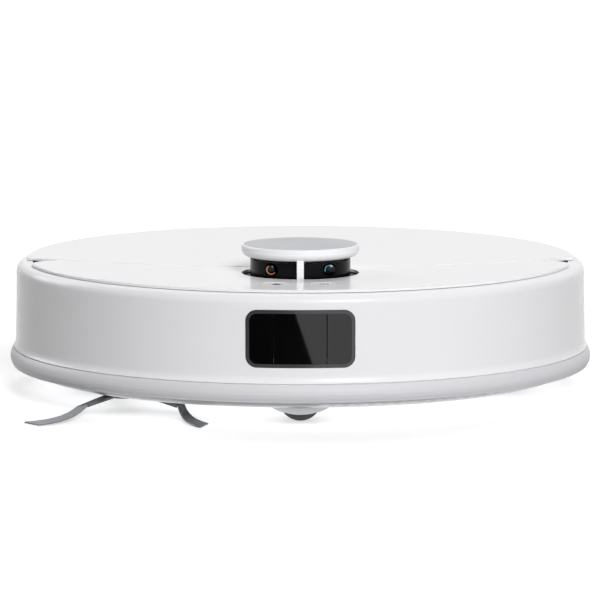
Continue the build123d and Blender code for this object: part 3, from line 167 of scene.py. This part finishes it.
@dataclass(frozen=True)
class Finish:
    """One real material: its colours, its shine and the size of its surface detail.

    The grain is a bump of grain_mm spacing and the mottle a slow drift of colour over mottle_mm.
    """

    name: str
    colour: str
    second: str
    surface: Surface
    roughness: float
    rough_drift: float = 0.05
    grain_mm: float = 1.0
    grain_depth_mm: float = 0.01
    mottle_mm: float = 40.0
    metallic: float = 0.0
    ior: float = 1.5
    coat: float = 0.0
    coat_roughness: float = 0.04
    specular: float = 0.5
    transmission: float = 0.0
    sheen: float = 0.0

    def material(self) -> bpy.types.Material:
        """Build the material once and hand it out again after that.

        Returns:
            The material for this finish.
        """
        known = bpy.data.materials.get(self.name)
        if known:
            return known
        made = blank_material(self.name)
        tree = made.node_tree
        place = add_node(tree, "ShaderNodeTexCoord").outputs["Object"]
        stretch = BRUSH_STRETCH if self.surface is Surface.BRUSHED else EVEN
        spot = add_node(tree, "ShaderNodeMapping", links={"Vector": place}, Scale=stretch).outputs["Vector"]
        drift = add_node(
            tree, "ShaderNodeTexNoise", links={"Vector": spot}, Scale=1 / (self.mottle_mm * MM), Detail=3.0
        ).outputs["Fac"]
        grain = self._grain(tree, spot)
        tint = add_node(
            tree,
            "ShaderNodeMix",
            {"data_type": "RGBA"},
            {"Factor": grain if self.surface is Surface.BOARD else drift},
        )
        # A Mix node's colour sockets share their names with its others, so they go by number
        tint.inputs[6].default_value = linear(self.colour)
        tint.inputs[7].default_value = linear(self.second)
        rough = add_node(
            tree,
            "ShaderNodeMapRange",
            links={"Value": drift},
            From_Min=DRIFT_LOW,
            From_Max=DRIFT_HIGH,
            To_Min=max(self.roughness - self.rough_drift, LEAST_ROUGHNESS),
            To_Max=self.roughness + self.rough_drift,
        ).outputs["Result"]
        bump = add_node(
            tree,
            "ShaderNodeBump",
            links={"Height": grain},
            Strength=BUMP_STRENGTH,
            Distance=self.grain_depth_mm * MM,
        ).outputs["Normal"]
        shader = add_node(
            tree,
            "ShaderNodeBsdfPrincipled",
            links={"Base Color": tint.outputs[2], "Roughness": rough, "Normal": bump},
            Metallic=self.metallic,
            Coat_Weight=self.coat,
            Coat_Roughness=self.coat_roughness,
            Transmission_Weight=self.transmission,
            Sheen_Weight=self.sheen,
        )
        shader.inputs["Specular IOR Level"].default_value = self.specular
        if not self.metallic:
            shader.inputs["IOR"].default_value = self.ior
        add_node(tree, "ShaderNodeOutputMaterial", links={"Surface": shader.outputs["BSDF"]})
        return made

    def _grain(self, tree: bpy.types.NodeTree, spot: bpy.types.NodeSocket) -> bpy.types.NodeSocket:
        """Add the fine pattern of the surface.

        Args:
            tree: the material's node tree.
            spot: the place on the piece, in metres.

        Returns:
            The pattern's height, 0 to 1.
        """
        scale = 1 / (self.grain_mm * MM)
        if self.surface is Surface.SOFT:
            return add_node(
                tree, "ShaderNodeTexVoronoi", {"feature": "SMOOTH_F1"}, {"Vector": spot}, Scale=scale
            ).outputs["Distance"]
        if self.surface is Surface.BOARD:
            return add_node(
                tree, "ShaderNodeTexBrick", {"offset": 0.5}, {"Vector": spot}, Scale=scale, Mortar_Size=0.06
            ).outputs["Fac"]
        noise = add_node(tree, "ShaderNodeTexNoise", links={"Vector": spot}, Scale=scale, Detail=4.0)
        return noise.outputs["Fac"]


# Real matt grain and brushed lines are too fine to show, so they are drawn as coarse as a close view needs

# Injection-moulded ABS, polished mould: bright white, with the faint ripple of orange peel in its reflections
GLOSS_WHITE = Finish(
    "abs_gloss_white", "#F3F3F5", "#EDEDEF", Surface.POLISHED, 0.22, 0.03, grain_mm=6.0, grain_depth_mm=0.004,
    mottle_mm=90.0, ior=1.53, specular=0.12,
)
# The same ABS on the top, polished to a mirror
MIRROR_WHITE = Finish(
    "abs_mirror_white", "#F4F4F6", "#EFEFF1", Surface.POLISHED, 0.14, 0.02, grain_mm=9.0,
    grain_depth_mm=0.002, mottle_mm=120.0, ior=1.53, specular=0.05,
)
# Soft-touch elastomer over the lower strip: a little greyer, with a dull sheen
SATIN_WHITE = Finish(
    "tpe_satin_white", "#DCDCDF", "#D6D6DA", Surface.GRAINED, 0.5, 0.05, grain_mm=0.9, grain_depth_mm=0.006,
    mottle_mm=60.0, specular=0.3,
)
# The disc in the turret's top, with a fine even matt: its light grey is a painted reflection of dark
# surroundings on white ABS
DISC_REFLECTION_GREY = Finish(
    "disc_grey_painted_reflection", "#C4C5C8", "#BDBEC2", Surface.GRAINED, 0.5, 0.04, grain_mm=0.7, grain_depth_mm=0.004,
    mottle_mm=30.0, specular=0.15,
)
# Mid grey ABS of frames, cases and covers, with the even matt of a spark-eroded mould
MATT_GREY = Finish(
    "abs_matt_grey", "#8E9094", "#85878B", Surface.GRAINED, 0.5, 0.08, grain_mm=0.8, grain_depth_mm=0.02,
)
# Grey ABS of the caster's dome, a little smoother, so that it takes a soft highlight
DOME_GREY = Finish(
    "abs_dome_grey", "#A9AAAD", "#9FA0A4", Surface.GRAINED, 0.42, 0.06, grain_mm=0.8, grain_depth_mm=0.015,
)
# Black ABS of ducts, cores and optics, coarse matt that swallows light
MATT_BLACK = Finish(
    "abs_matt_black", "#232427", "#1B1C1E", Surface.GRAINED, 0.55, 0.1, grain_mm=0.9, grain_depth_mm=0.03,
)
# Light grey ABS of the underside, with a coarser matt that hides scratches
PAN_GREY = Finish(
    "abs_pan_grey", "#D9DADC", "#CDCED1", Surface.GRAINED, 0.48, 0.08, grain_mm=0.9, grain_depth_mm=0.02,
)
# Black polycarbonate that infrared passes: a deep mirror
IR_BLACK = Finish(
    "pc_infrared_black", "#060607", "#0A0A0B", Surface.POLISHED, 0.06, 0.02, grain_mm=14.0,
    grain_depth_mm=0.002, mottle_mm=25.0, ior=1.58, specular=0.45,
)
# The same polycarbonate on the spinning head, which gives back less light
HEAD_BLACK = Finish(
    "pc_head_black", "#08080A", "#0C0C0E", Surface.POLISHED, 0.16, 0.04, grain_mm=14.0, grain_depth_mm=0.002,
    mottle_mm=25.0, ior=1.58, specular=0.07,
)
# Dark grey ABS round the window, lacquered to a gloss
BEZEL_GREY = Finish(
    "abs_bezel_grey", "#3A3B3E", "#303134", Surface.POLISHED, 0.24, 0.04, grain_mm=2.0,
    grain_depth_mm=0.004, coat=0.3,
)
# Deep optical glass, and the bright copper and teal crescents on it: a painted reflection of light off its
# coating
LENS_DARK = Finish(
    "optical_glass_dark", "#060608", "#0E0C12", Surface.POLISHED, 0.05, 0.02, mottle_mm=3.0, ior=1.6,
    specular=0.2,
)
# Painted reflection: the copper crescent of light off the lens coating
GLINT_COPPER_PAINT = Finish(
    "painted_glint_copper", "#D08A5C", "#8C4A26", Surface.POLISHED, 0.2, 0.04, grain_mm=0.8, mottle_mm=2.4,
    ior=1.6,
)
# Painted reflection: the teal crescent of light off the lens coating
GLINT_TEAL_PAINT = Finish(
    "painted_glint_teal", "#58B4C4", "#2A6F8C", Surface.POLISHED, 0.2, 0.04, grain_mm=0.8, mottle_mm=2.4,
    ior=1.6,
)
# Smoked clear polycarbonate of the bin, through which the dust would show
SMOKED = Finish(
    "pc_smoked_clear", "#7C7F84", "#70737A", Surface.POLISHED, 0.12, 0.03, grain_mm=8.0, grain_depth_mm=0.003,
    ior=1.58, transmission=0.75,
)
# Pressed filter fibre: warm white, with a soft fuzz
FILTER_PAPER = Finish(
    "filter_paper", "#E4E1D6", "#D2CEC0", Surface.PAPER, 0.9, 0.05, grain_mm=0.6, grain_depth_mm=0.05,
    mottle_mm=6.0, sheen=0.2,
)
# Moulded rubber, dull with a pebbled skin: rust red on the rollers, black on wheels, grey on brush arms
ROLLER_RUBBER = Finish(
    "rubber_roller_red", "#8C3A2B", "#7A3024", Surface.SOFT, 0.62, 0.08, grain_mm=1.2, grain_depth_mm=0.03,
    mottle_mm=14.0,
)
TYRE_RUBBER = Finish(
    "rubber_tyre_black", "#222326", "#2C2D30", Surface.SOFT, 0.7, 0.1, grain_mm=1.0, grain_depth_mm=0.03,
    mottle_mm=9.0,
)
ARM_RUBBER = Finish(
    "rubber_brush_grey", "#55575B", "#4A4C50", Surface.SOFT, 0.55, 0.08, grain_mm=0.8, grain_depth_mm=0.02,
    mottle_mm=7.0,
)
# Nylon strands, grey and slightly shiny
STRAND_NYLON = Finish(
    "nylon_strand_grey", "#A0A2A6", "#84868A", Surface.GRAINED, 0.4, 0.08, grain_mm=0.5, grain_depth_mm=0.01,
    mottle_mm=2.5, sheen=0.2,
)
# Natural nylon of hubs and the impeller: a waxy off-white
GEAR_NYLON = Finish(
    "nylon_natural", "#E6E2D6", "#D9D4C5", Surface.GRAINED, 0.45, 0.06, grain_mm=0.7, grain_depth_mm=0.01,
)
# Brushed steel of motors, screws and pins: a soft metal shine with fine lines along X
STEEL = Finish(
    "steel_brushed", "#B9BABD", "#A3A5A9", Surface.BRUSHED, 0.34, 0.08, grain_mm=0.4, grain_depth_mm=0.008,
    mottle_mm=6.0, metallic=1.0,
)
# Plated brass of contacts and pinions: warm, with the same fine lines
GOLD_PLATE = Finish(
    "brass_plated", "#C8A45A", "#B58F48", Surface.BRUSHED, 0.28, 0.06, grain_mm=0.4, grain_depth_mm=0.006,
    mottle_mm=5.0, metallic=1.0,
)
# Green solder mask over etched tracks, which show as a paler grid
BOARD_GREEN = Finish(
    "board_solder_mask", "#1F5C38", "#2E7A4C", Surface.BOARD, 0.4, 0.06, grain_mm=5.0, grain_depth_mm=0.03,
)
# Shrink wrap of the battery: blue PVC with slight waves
CELL_WRAP = Finish(
    "pvc_cell_wrap", "#26406F", "#213860", Surface.POLISHED, 0.35, 0.06, grain_mm=3.0, grain_depth_mm=0.03,
)
# Pad-printed ink of the two button signs: a flat mid grey
ICON_GREY = Finish(
    "ink_icon_grey", "#6E7075", "#66686D", Surface.POLISHED, 0.5, 0.04, grain_mm=0.4, specular=0.1,
)


def dress(finish: Finish, *nodes: str) -> None:
    """Give CAD nodes a finish.

    Args:
        finish: the finish they take.
        nodes: names of the nodes.
    """
    for name in nodes:
        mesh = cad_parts[name].data
        mesh.materials.clear()
        mesh.materials.append(finish.material())
        log.info("dressed %s in %s", name, finish.name)


def add_piece(name: str, form: bmesh.types.BMesh, finish: Finish, body: str) -> bpy.types.Object:
    """Turn a finished bmesh into a piece that rides on a body.

    Args:
        name: the piece's name.
        form: its shape, in metres in the model's frame; it is freed here.
        finish: the finish it takes.
        body: the body it moves with.

    Returns:
        The new object.
    """
    piece = add_object(name, form, finish.material())
    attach(piece, body)
    log.info("made %s on %s", name, body)
    return piece


@dataclass
class Shell:
    """The white outer walls and the soft strip under them."""

    walls: tuple[str, ...] = ("bumper_shell", "rear_shell")
    strips: tuple[str, ...] = ("bumper_strip", "rear_skirt")

    def finish(self) -> None:
        """Dress the walls in gloss white and the strips in satin."""
        dress(GLOSS_WHITE, *self.walls)
        dress(SATIN_WHITE, *self.strips)


@dataclass
class SensorWindow:
    """The dark window in the bumper, with what shows behind it."""

    panes: tuple[str, ...] = ("projector_window_left", "camera_window", "projector_window_right")

    def finish(self) -> None:
        """Dress the panes, the bezel and the optics behind."""
        dress(IR_BLACK, *self.panes)
        dress(BEZEL_GREY, "sensor_bezel")
        dress(MATT_BLACK, "camera_module", "line_projectors")


@dataclass
class TopDeck:
    """The front panel, the lid and the two buttons with their icons."""

    button_x: float = 13.8
    button_y: float = -138.4
    icon_radius: float = 2.6
    stroke: float = 0.8
    ink: float = 0.03
    bar_length: float = 2.4
    bar_y: float = 1.9
    ring_start: float = 38.0
    ring_length: float = 284.0
    ring_steps: int = 28
    house: tuple[tuple[float, float], ...] = ((-2.3, -2.4), (2.3, -2.4), (2.3, 0.5), (0.0, 2.7), (-2.3, 0.5))

    def finish(self) -> None:
        """Dress the top and lay the icons on the buttons."""
        dress(MIRROR_WHITE, "front_panel", "top_lid")
        dress(GLOSS_WHITE, "power_button", "home_button")
        add_piece("power_icon", self._power_icon(), ICON_GREY, "power_key")
        add_piece("home_icon", self._home_icon(), ICON_GREY, "home_key")

    def _power_icon(self) -> bmesh.types.BMesh:
        """Make an open ring with a bar in its gap.

        Returns:
            The icon's shape.
        """
        form = bmesh.new()
        bar = bmesh.ops.create_cube(form, size=1.0)["verts"]
        bmesh.ops.scale(form, vec=(self.stroke * MM, self.bar_length * MM, self.ink * MM), verts=bar)
        bmesh.ops.translate(form, vec=(0, self.bar_y * MM, 0), verts=bar)
        inner = self.icon_radius - self.stroke
        outline = ((self.icon_radius, -1), (self.icon_radius, 1), (inner, 1), (inner, -1))
        corners = [form.verts.new((0, reach * MM, side * self.ink / 2 * MM)) for reach, side in outline]
        section = form.faces.new(corners)
        rotate(form, corners, self.ring_start, "Z")
        bmesh.ops.spin(
            form, geom=[section, *section.edges, *section.verts], cent=ORIGIN, axis=(0, 0, 1),
            angle=math.radians(self.ring_length), steps=self.ring_steps,
        )
        return self._settle(form, 1)

    def _home_icon(self) -> bmesh.types.BMesh:
        """Make a small house, which comes out flat and filled.

        Returns:
            The icon's shape.
        """
        form = bmesh.new()
        face = form.faces.new([form.verts.new((x * MM, y * MM, 0)) for x, y in self.house])
        bmesh.ops.inset_individual(form, faces=[face], thickness=self.stroke * MM, use_even_offset=True)
        bmesh.ops.delete(form, geom=[face], context="FACES")
        bmesh.ops.solidify(form, geom=form.faces[:], thickness=self.ink * MM)
        return self._settle(form, -1)

    def _settle(self, form: bmesh.types.BMesh, side: int) -> bmesh.types.BMesh:
        """Move an icon made at the origin onto its button.

        Args:
            form: the icon's shape.
            side: 1 for the right button, -1 for the left.

        Returns:
            The same shape, in place.
        """
        bmesh.ops.remove_doubles(form, verts=form.verts[:], dist=MERGE)
        bmesh.ops.holes_fill(form, edges=form.edges[:], sides=0)
        bmesh.ops.recalc_face_normals(form, faces=form.faces[:])
        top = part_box("power_button")[1][2]
        rise = top - min(v.co.z for v in form.verts)
        spot = Vector((side * self.button_x * MM, self.button_y * MM, rise))
        bmesh.ops.translate(form, vec=spot, verts=form.verts[:])
        return form


@dataclass
class Turret:
    """The laser turret: cap, base, spinning head and its two lenses.

    An arc is where a crescent of painted reflection begins and how far round it goes, in degrees.
    """

    lens_x: float = 17.0
    lens_z: float = 83.6
    lens_y: float = -103.1
    lens_radius: float = 3.7
    lens_flatness: float = 0.45
    glint_radius: float = 2.5
    glint_width: float = 0.9
    glint_flatness: float = 0.22
    glint_steps: int = 30
    copper_arc: tuple[float, float] = (118.0, 205.0)
    teal_arc: tuple[float, float] = (40.0, 165.0)

    def finish(self) -> None:
        """Dress the turret and make its lenses."""
        dress(GLOSS_WHITE, "turret_cap")
        # The disc's light grey is a painted reflection of dark surroundings
        dress(DISC_REFLECTION_GREY, "turret_disc")
        dress(MATT_BLACK, "turret_base")
        dress(HEAD_BLACK, "lidar_rotor")
        dress(STEEL, "lidar_motor")
        glass = add_piece("lens_glass_pair", self._glass(), LENS_DARK, "lidar_head")
        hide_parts("lidar_lenses")
        # The copper and teal crescents are painted reflections: glints of light off the lens coating
        copper = self._glint(-1, *self.copper_arc)
        add_piece("lens_glint_copper", copper, GLINT_COPPER_PAINT, "lidar_head")
        teal = self._glint(1, *self.teal_arc)
        add_piece("lens_glint_teal", teal, GLINT_TEAL_PAINT, "lidar_head")

    def _glass(self) -> bmesh.types.BMesh:
        """Make the two domed lenses, facing forwards.

        Returns:
            The lenses' shape.
        """
        form = bmesh.new()
        for side in (-1, 1):
            dome = bmesh.ops.create_uvsphere(
                form, u_segments=40, v_segments=20, radius=self.lens_radius * MM
            )["verts"]
            bmesh.ops.scale(form, vec=(1, 1, self.lens_flatness), verts=dome)
            self._face_forwards(form, dome, side)
        for face in form.faces:
            face.smooth = True
        return form

    def _glint(self, side: int, start: float, length: float) -> bmesh.types.BMesh:
        """Make the thin crescent of painted reflection that lies on one dome.

        Args:
            side: -1 for the left lens, 1 for the right.
            start: where the crescent begins, in degrees round the lens.
            length: how far round it goes.

        Returns:
            The crescent's shape.
        """
        form = bmesh.new()
        height = self.lens_flatness * math.sqrt(self.lens_radius**2 - self.glint_radius**2)
        half = self.glint_width / 2 * MM
        verts = bmesh.ops.create_circle(form, segments=10, radius=half, cap_ends=True)["verts"]
        bmesh.ops.scale(form, vec=(1, self.glint_flatness, 1), verts=verts)
        rotate(form, verts, 90.0, "X")
        bmesh.ops.translate(form, vec=(self.glint_radius * MM, 0, height * MM), verts=verts)
        rotate(form, verts, start, "Z")
        bmesh.ops.spin(
            form, geom=[*form.faces, *form.edges, *form.verts], cent=ORIGIN, axis=(0, 0, 1),
            angle=math.radians(length), steps=self.glint_steps,
        )
        bmesh.ops.remove_doubles(form, verts=form.verts[:], dist=MERGE)
        bmesh.ops.recalc_face_normals(form, faces=form.faces[:])
        self._face_forwards(form, form.verts[:], side)
        return form

    def _face_forwards(self, form: bmesh.types.BMesh, verts: list[bmesh.types.BMVert], side: int) -> None:
        """Turn a shape made facing up so that it faces forwards on the head.

        Args:
            form: the shape that holds the vertices.
            verts: the vertices to turn and move.
            side: -1 for the left lens, 1 for the right.
        """
        spot = Vector((side * self.lens_x, self.lens_y, self.lens_z)) * MM
        rotate(form, verts, 90.0, "X")
        bmesh.ops.translate(form, vec=spot, verts=verts)


@dataclass
class Underside:
    """The pan with the small pieces let into it."""

    def finish(self) -> None:
        """Dress the pan and its trim."""
        dress(PAN_GREY, "base_pan", "battery_door")
        dress(STEEL, "chassis_screws", "lid_hinge_pins", "wheel_arm_pins")
        dress(IR_BLACK, "cliff_sensor_windows")
        dress(GOLD_PLATE, "charging_contacts")
        dress(MATT_GREY, "roller_guard")


@dataclass
class Drive:
    """The two drive units."""

    sides: tuple[str, ...] = ("left", "right")

    def finish(self) -> None:
        """Dress the cases, motors, gears and tyres."""
        for side in self.sides:
            dress(MATT_GREY, f"{side}_gear_case")
            dress(STEEL, f"{side}_wheel_motor")
            dress(GOLD_PLATE, f"{side}_pinion")
            dress(GEAR_NYLON, f"{side}_wheel_hub")
            dress(TYRE_RUBBER, f"{side}_tyre")


@dataclass
class Cleaning:
    """Rollers, their chamber, the bin, the filter and the fan."""

    def finish(self) -> None:
        """Dress what cleans."""
        dress(MATT_BLACK, "roller_chamber", "suction_duct", "side_brush_gearbox", "fan_housing")
        dress(MATT_BLACK, "front_roller_core", "rear_roller_core")
        dress(ROLLER_RUBBER, "front_roller_sleeve", "rear_roller_sleeve")
        dress(STEEL, "brush_motor")
        dress(SMOKED, "dustbin_tub")
        dress(MATT_GREY, "dustbin_cover", "top_housing")
        dress(FILTER_PAPER, "hepa_filter")
        dress(GEAR_NYLON, "impeller")


@dataclass
class Electronics:
    """Battery, board and speaker."""

    def finish(self) -> None:
        """Dress the electronics."""
        dress(CELL_WRAP, "battery_pack")
        dress(BOARD_GREEN, "main_board")
        dress(MATT_BLACK, "speaker")


@dataclass
class Caster:
    """The swivelling front caster."""

    def finish(self) -> None:
        """Dress the dome and its wheel."""
        dress(DOME_GREY, "caster_fork")
        dress(TYRE_RUBBER, "caster_wheel")


@dataclass
class SideBrush:
    """The side brush: hub, rubber arms and curved strands.

    Each tuft is how far out its tip is, how far aside, and how far its middle bows aside, in millimetres.
    The powers bend how a strand fans out and falls. The jitters scatter the strands the same way each run.
    """

    centre: tuple[float, float] = (-102.0, -100.0)
    first_angle: float = 222.0
    tufts: tuple[tuple[float, float, float], ...] = (
        (76.0, 6.0, 6.0),
        (64.0, -44.0, -8.0),
        (65.0, -6.0, 0.0),
    )
    root_reach: float = 33.6
    root_z: float = 5.6
    tip_z: float = 0.75
    arm_width: float = 10.4
    spread: float = 14.0
    columns: int = 26
    rows: int = 5
    strand: float = 0.34
    steps: int = 7
    arm_tilt: float = 12.0
    root_depth: float = 1.1
    depth_loss: float = 0.3
    stray: float = 1.6
    length_stray: float = 0.05
    column_jitter: float = 12.9898
    row_jitter: float = 78.233
    fan_power: float = 1.3
    fall_power: float = 1.7

    def finish(self) -> None:
        """Dress the hub and the arms, and make the strands."""
        dress(MATT_BLACK, "side_brush_hub")
        dress(ARM_RUBBER, "side_brush_arms")
        strands = add_piece("side_brush_strands", self._strands(), STRAND_NYLON, "side_brush")
        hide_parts("side_brush_bristles")

    def _strands(self) -> bmesh.types.BMesh:
        """Make every strand of the three arms.

        Returns:
            The strands' shape.
        """
        form = bmesh.new()
        for arm, tuft in enumerate(self.tufts):
            angle = self.first_angle + 360 / len(self.tufts) * arm
            for column in range(self.columns):
                for row in range(self.rows):
                    self._strand(form, angle, tuft, column, row)
        return form

    def _strand(
        self, form: bmesh.types.BMesh, angle: float, tuft: tuple[float, float, float], column: int, row: int
    ) -> None:
        """Extrude one three-sided strand, open at its root, from just off the arm's end to the floor.

        Args:
            form: the shape that takes the strand.
            angle: the arm's direction, in degrees.
            tuft: the arm's tuft.
            column: place across the arm.
            row: place through the arm's thickness.
        """
        across = (column + 0.5) / self.columns - 0.5
        deep = (row + 0.5) / self.rows - 0.5
        wobble = math.sin(column * self.column_jitter + row * self.row_jitter) / 2
        length = 1 - self.length_stray * abs(wobble)
        turn = Matrix.Rotation(math.radians(angle), 3, "Z")
        verts = bmesh.ops.create_circle(form, segments=3, radius=self.strand / 2 * MM, cap_ends=True)["verts"]
        rotate(form, verts, 90.0, "Y")
        rotate(form, verts, angle, "Z")
        places = [
            turn @ self._place(step / self.steps * length, tuft, across, deep, wobble)
            for step in range(self.steps + 1)
        ]
        middle = Vector((self.centre[0], self.centre[1], 0))
        bmesh.ops.translate(form, vec=(places[0] + middle) * MM, verts=verts)
        face = verts[0].link_faces[0]
        for start, end in zip(places, places[1:]):
            grown = bmesh.ops.extrude_face_region(form, geom=[face])["geom"]
            bmesh.ops.delete(form, geom=[face], context="FACES_ONLY")
            moved = [g for g in grown if isinstance(g, bmesh.types.BMVert)]
            face = next(g for g in grown if isinstance(g, bmesh.types.BMFace))
            bmesh.ops.translate(form, vec=(end - start) * MM, verts=moved)

    def _place(
        self, along: float, tuft: tuple[float, float, float], across: float, deep: float, wobble: float
    ) -> Vector:
        """Where a strand runs, before the arm's own turn.

        Args:
            along: 0 at the arm to 1 at the tip.
            tuft: the arm's tuft.
            across: place over the arm's width, -0.5 to 0.5.
            deep: place through its thickness, -0.5 to 0.5.
            wobble: the strand's own stray, -0.5 to 0.5.

        Returns:
            The point, in millimetres.
        """
        tip_reach, aside, bow = tuft
        reach = self.root_reach + (tip_reach - self.root_reach) * along
        width = self.arm_width + (self.spread - self.arm_width) * along**self.fan_power
        sweep = aside * along + bow * math.sin(math.pi * along) + wobble * self.stray * along
        fall = (1 - along) ** self.fall_power
        tilt = across * self.arm_width * math.sin(math.radians(self.arm_tilt)) * (1 - along)
        depth = deep * (self.root_depth - self.depth_loss * along)
        height = self.tip_z + (self.root_z - self.tip_z) * fall + tilt + depth
        return Vector((reach, across * width + sweep, max(height, self.strand)))


@dataclass
class Studio:
    """Floor, light, background and camera."""

    target: tuple[float, float, float] = (0.0, 0.0, 45.0)
    distance: float = 2522.5
    elevation: float = 7.528
    sensor: float = 36.0
    lens: float = 248.2
    near: float = 0.05
    far: float = 60.0
    shift_x: float = -0.0006
    shift_y: float = 0.0199
    floor_size: float = 80.0
    key_strength: float = 2.9
    key_turn: float = 18.0
    key_rise: float = 30.0
    key_softness: float = 24.0
    rim_turn: float = -130.0
    rim_rise: float = 25.0
    rim_strength: float = 0.8
    rim_softness: float = 30.0
    back_turn: float = 172.0
    back_rise: float = 50.0
    back_strength: float = 1.3
    ambient: float = 0.02
    lift_size: float = 350.0
    lift_height: float = 0.4
    lift_watts: float = 0.35
    flag_y: float = -375.0
    flag_outline: tuple[tuple[float, float], ...] = (
        (-420.0, 0.0),
        (33.0, 0.0),
        (-42.0, 70.0),
        (-420.0, 70.0),
    )
    paper_colour: str = "#C6C6C6"
    paper_glow: float = 0.6
    bounce_colour: str = "#9C9C9C"
    card_colour: str = "#050505"
    lamp_distance: float = 3.0

    def build(self) -> None:
        """Set up the whole studio."""
        bpy.context.scene.view_settings.view_transform = "Standard"
        self._floor()
        self._world()
        self._flag()
        self._lamp("key_light", self.key_turn, self.key_rise, self.key_strength, self.key_softness)
        self._lamp("rim_light", self.rim_turn, self.rim_rise, self.rim_strength, self.rim_softness)
        self._lamp("back_light", self.back_turn, self.back_rise, self.back_strength, self.rim_softness, False)
        self._underlight()
        self._camera()

    def _floor(self) -> None:
        """Lay the floor, a sheet of matt paper that looks brighter than the light it throws back."""
        form = bmesh.new()
        bmesh.ops.create_grid(form, x_segments=1, y_segments=1, size=self.floor_size / 2)
        made = blank_material("paper_sweep_white")
        tree = made.node_tree
        paper = add_node(tree, "ShaderNodeBsdfDiffuse", Color=linear(self.paper_colour))
        glow = add_node(tree, "ShaderNodeEmission", Color=WHITE, Strength=self.paper_glow)
        shown = add_node(tree, "ShaderNodeAddShader", links={0: paper.outputs[0], 1: glow.outputs[0]})
        bounce = add_node(tree, "ShaderNodeBsdfDiffuse", Color=linear(self.bounce_colour))
        pick = add_node(
            tree,
            "ShaderNodeMixShader",
            links={0: self._seen(tree), 1: bounce.outputs[0], 2: shown.outputs[0]},
        )
        add_node(tree, "ShaderNodeOutputMaterial", links={"Surface": pick.outputs[0]})
        floor = add_object("floor", form, made)

    def _seen(self, tree: bpy.types.NodeTree) -> bpy.types.NodeSocket:
        """Tell rays that look, straight or by mirror or glass, from rays that only gather light.

        Args:
            tree: the node tree of the floor or the world.

        Returns:
            1 where it is looked at, else 0.
        """
        path = add_node(tree, "ShaderNodeLightPath").outputs
        either = {"operation": "MAXIMUM"}
        looks = {0: path["Is Camera Ray"], 1: path["Is Glossy Ray"]}
        mirrored = add_node(tree, "ShaderNodeMath", either, looks)
        passes = {0: mirrored.outputs[0], 1: path["Is Transmission Ray"]}
        return add_node(tree, "ShaderNodeMath", either, passes).outputs[0]

    def _world(self) -> None:
        """Make the background white for the eye and dimmer for light on the object."""
        world = bpy.data.worlds.new("studio")
        bpy.context.scene.world = world
        world.use_nodes = True
        tree = world.node_tree
        tree.nodes.clear()
        level = add_node(
            tree, "ShaderNodeMapRange", links={"Value": self._seen(tree)}, To_Min=self.ambient, To_Max=1.0
        )
        strength = {"Strength": level.outputs["Result"]}
        back = add_node(tree, "ShaderNodeBackground", links=strength, Color=WHITE)
        add_node(tree, "ShaderNodeOutputWorld", links={"Surface": back.outputs[0]})

    def _flag(self) -> None:
        """Stand a black card in front, which only shows as the dark half of reflections."""
        form = bmesh.new()
        form.faces.new([form.verts.new((x * MM, self.flag_y * MM, z * MM)) for x, z in self.flag_outline])
        made = blank_material("card_black")
        tree = made.node_tree
        card = add_node(tree, "ShaderNodeBsdfDiffuse", Color=linear(self.card_colour))
        add_node(tree, "ShaderNodeOutputMaterial", links={"Surface": card.outputs[0]})
        flag = add_object("black_card", form, made)
        flag.visible_camera = flag.visible_diffuse = False
        flag.visible_shadow = flag.visible_transmission = False

    def _lamp(
        self, name: str, turn: float, rise: float, strength: float, softness: float, shine: bool = True
    ) -> None:
        """Hang one large far light that faces the object.

        Args:
            name: the lamp's name.
            turn: its direction, in degrees from the front towards the right.
            rise: its height, in degrees above the floor.
            strength: its strength.
            softness: how wide it looks from the object, in degrees.
            shine: whether it shows as a highlight in gloss.
        """
        data = bpy.data.lights.new(name, "SUN")
        data.energy, data.angle = strength, math.radians(softness)
        lamp = bpy.data.objects.new(name, data)
        side, up = math.radians(turn), math.radians(rise)
        towards = Vector((math.sin(side) * math.cos(up), -math.cos(side) * math.cos(up), math.sin(up)))
        lamp.location = towards * self.lamp_distance
        lamp.rotation_euler = (-towards).to_track_quat("-Z", "Y").to_euler()
        lamp.visible_glossy = shine
        bpy.context.scene.collection.objects.link(lamp)

    def _underlight(self) -> None:
        """Lay a dim round light on the floor, which opens the shade under the body."""
        data = bpy.data.lights.new("underlight", "AREA")
        data.shape, data.size, data.energy = "DISK", self.lift_size * MM, self.lift_watts
        lamp = bpy.data.objects.new("underlight", data)
        lamp.location = (0, 0, self.lift_height * MM)
        lamp.rotation_euler = (math.pi, 0, 0)
        lamp.visible_camera = lamp.visible_glossy = lamp.visible_transmission = False
        bpy.context.scene.collection.objects.link(lamp)

    def _camera(self) -> None:
        """Stand the camera where the photograph was taken from."""
        data = bpy.data.cameras.new("camera")
        data.sensor_width, data.lens = self.sensor, self.lens
        data.shift_x, data.shift_y = self.shift_x, self.shift_y
        data.clip_start, data.clip_end = self.near, self.far
        camera = bpy.data.objects.new("camera", data)
        rise = math.radians(self.elevation)
        back = Vector((0, -math.cos(rise), math.sin(rise)))
        camera.location = (Vector(self.target) + back * self.distance) * MM
        camera.rotation_euler = (-back).to_track_quat("-Z", "Y").to_euler()
        bpy.context.scene.collection.objects.link(camera)
        bpy.context.scene.camera = camera


def main() -> None:
    """Build the studio, then dress and complete each sub-assembly in turn."""
    logging.basicConfig(level=logging.INFO, format="%(name)s: %(message)s")
    Studio().build()
    upper = (Shell(), SensorWindow(), TopDeck(), Turret())
    lower = (Underside(), Drive(), Cleaning(), Electronics(), Caster(), SideBrush())
    for assembly in upper + lower:
        assembly.finish()


if __name__ == "__main__":
    main()
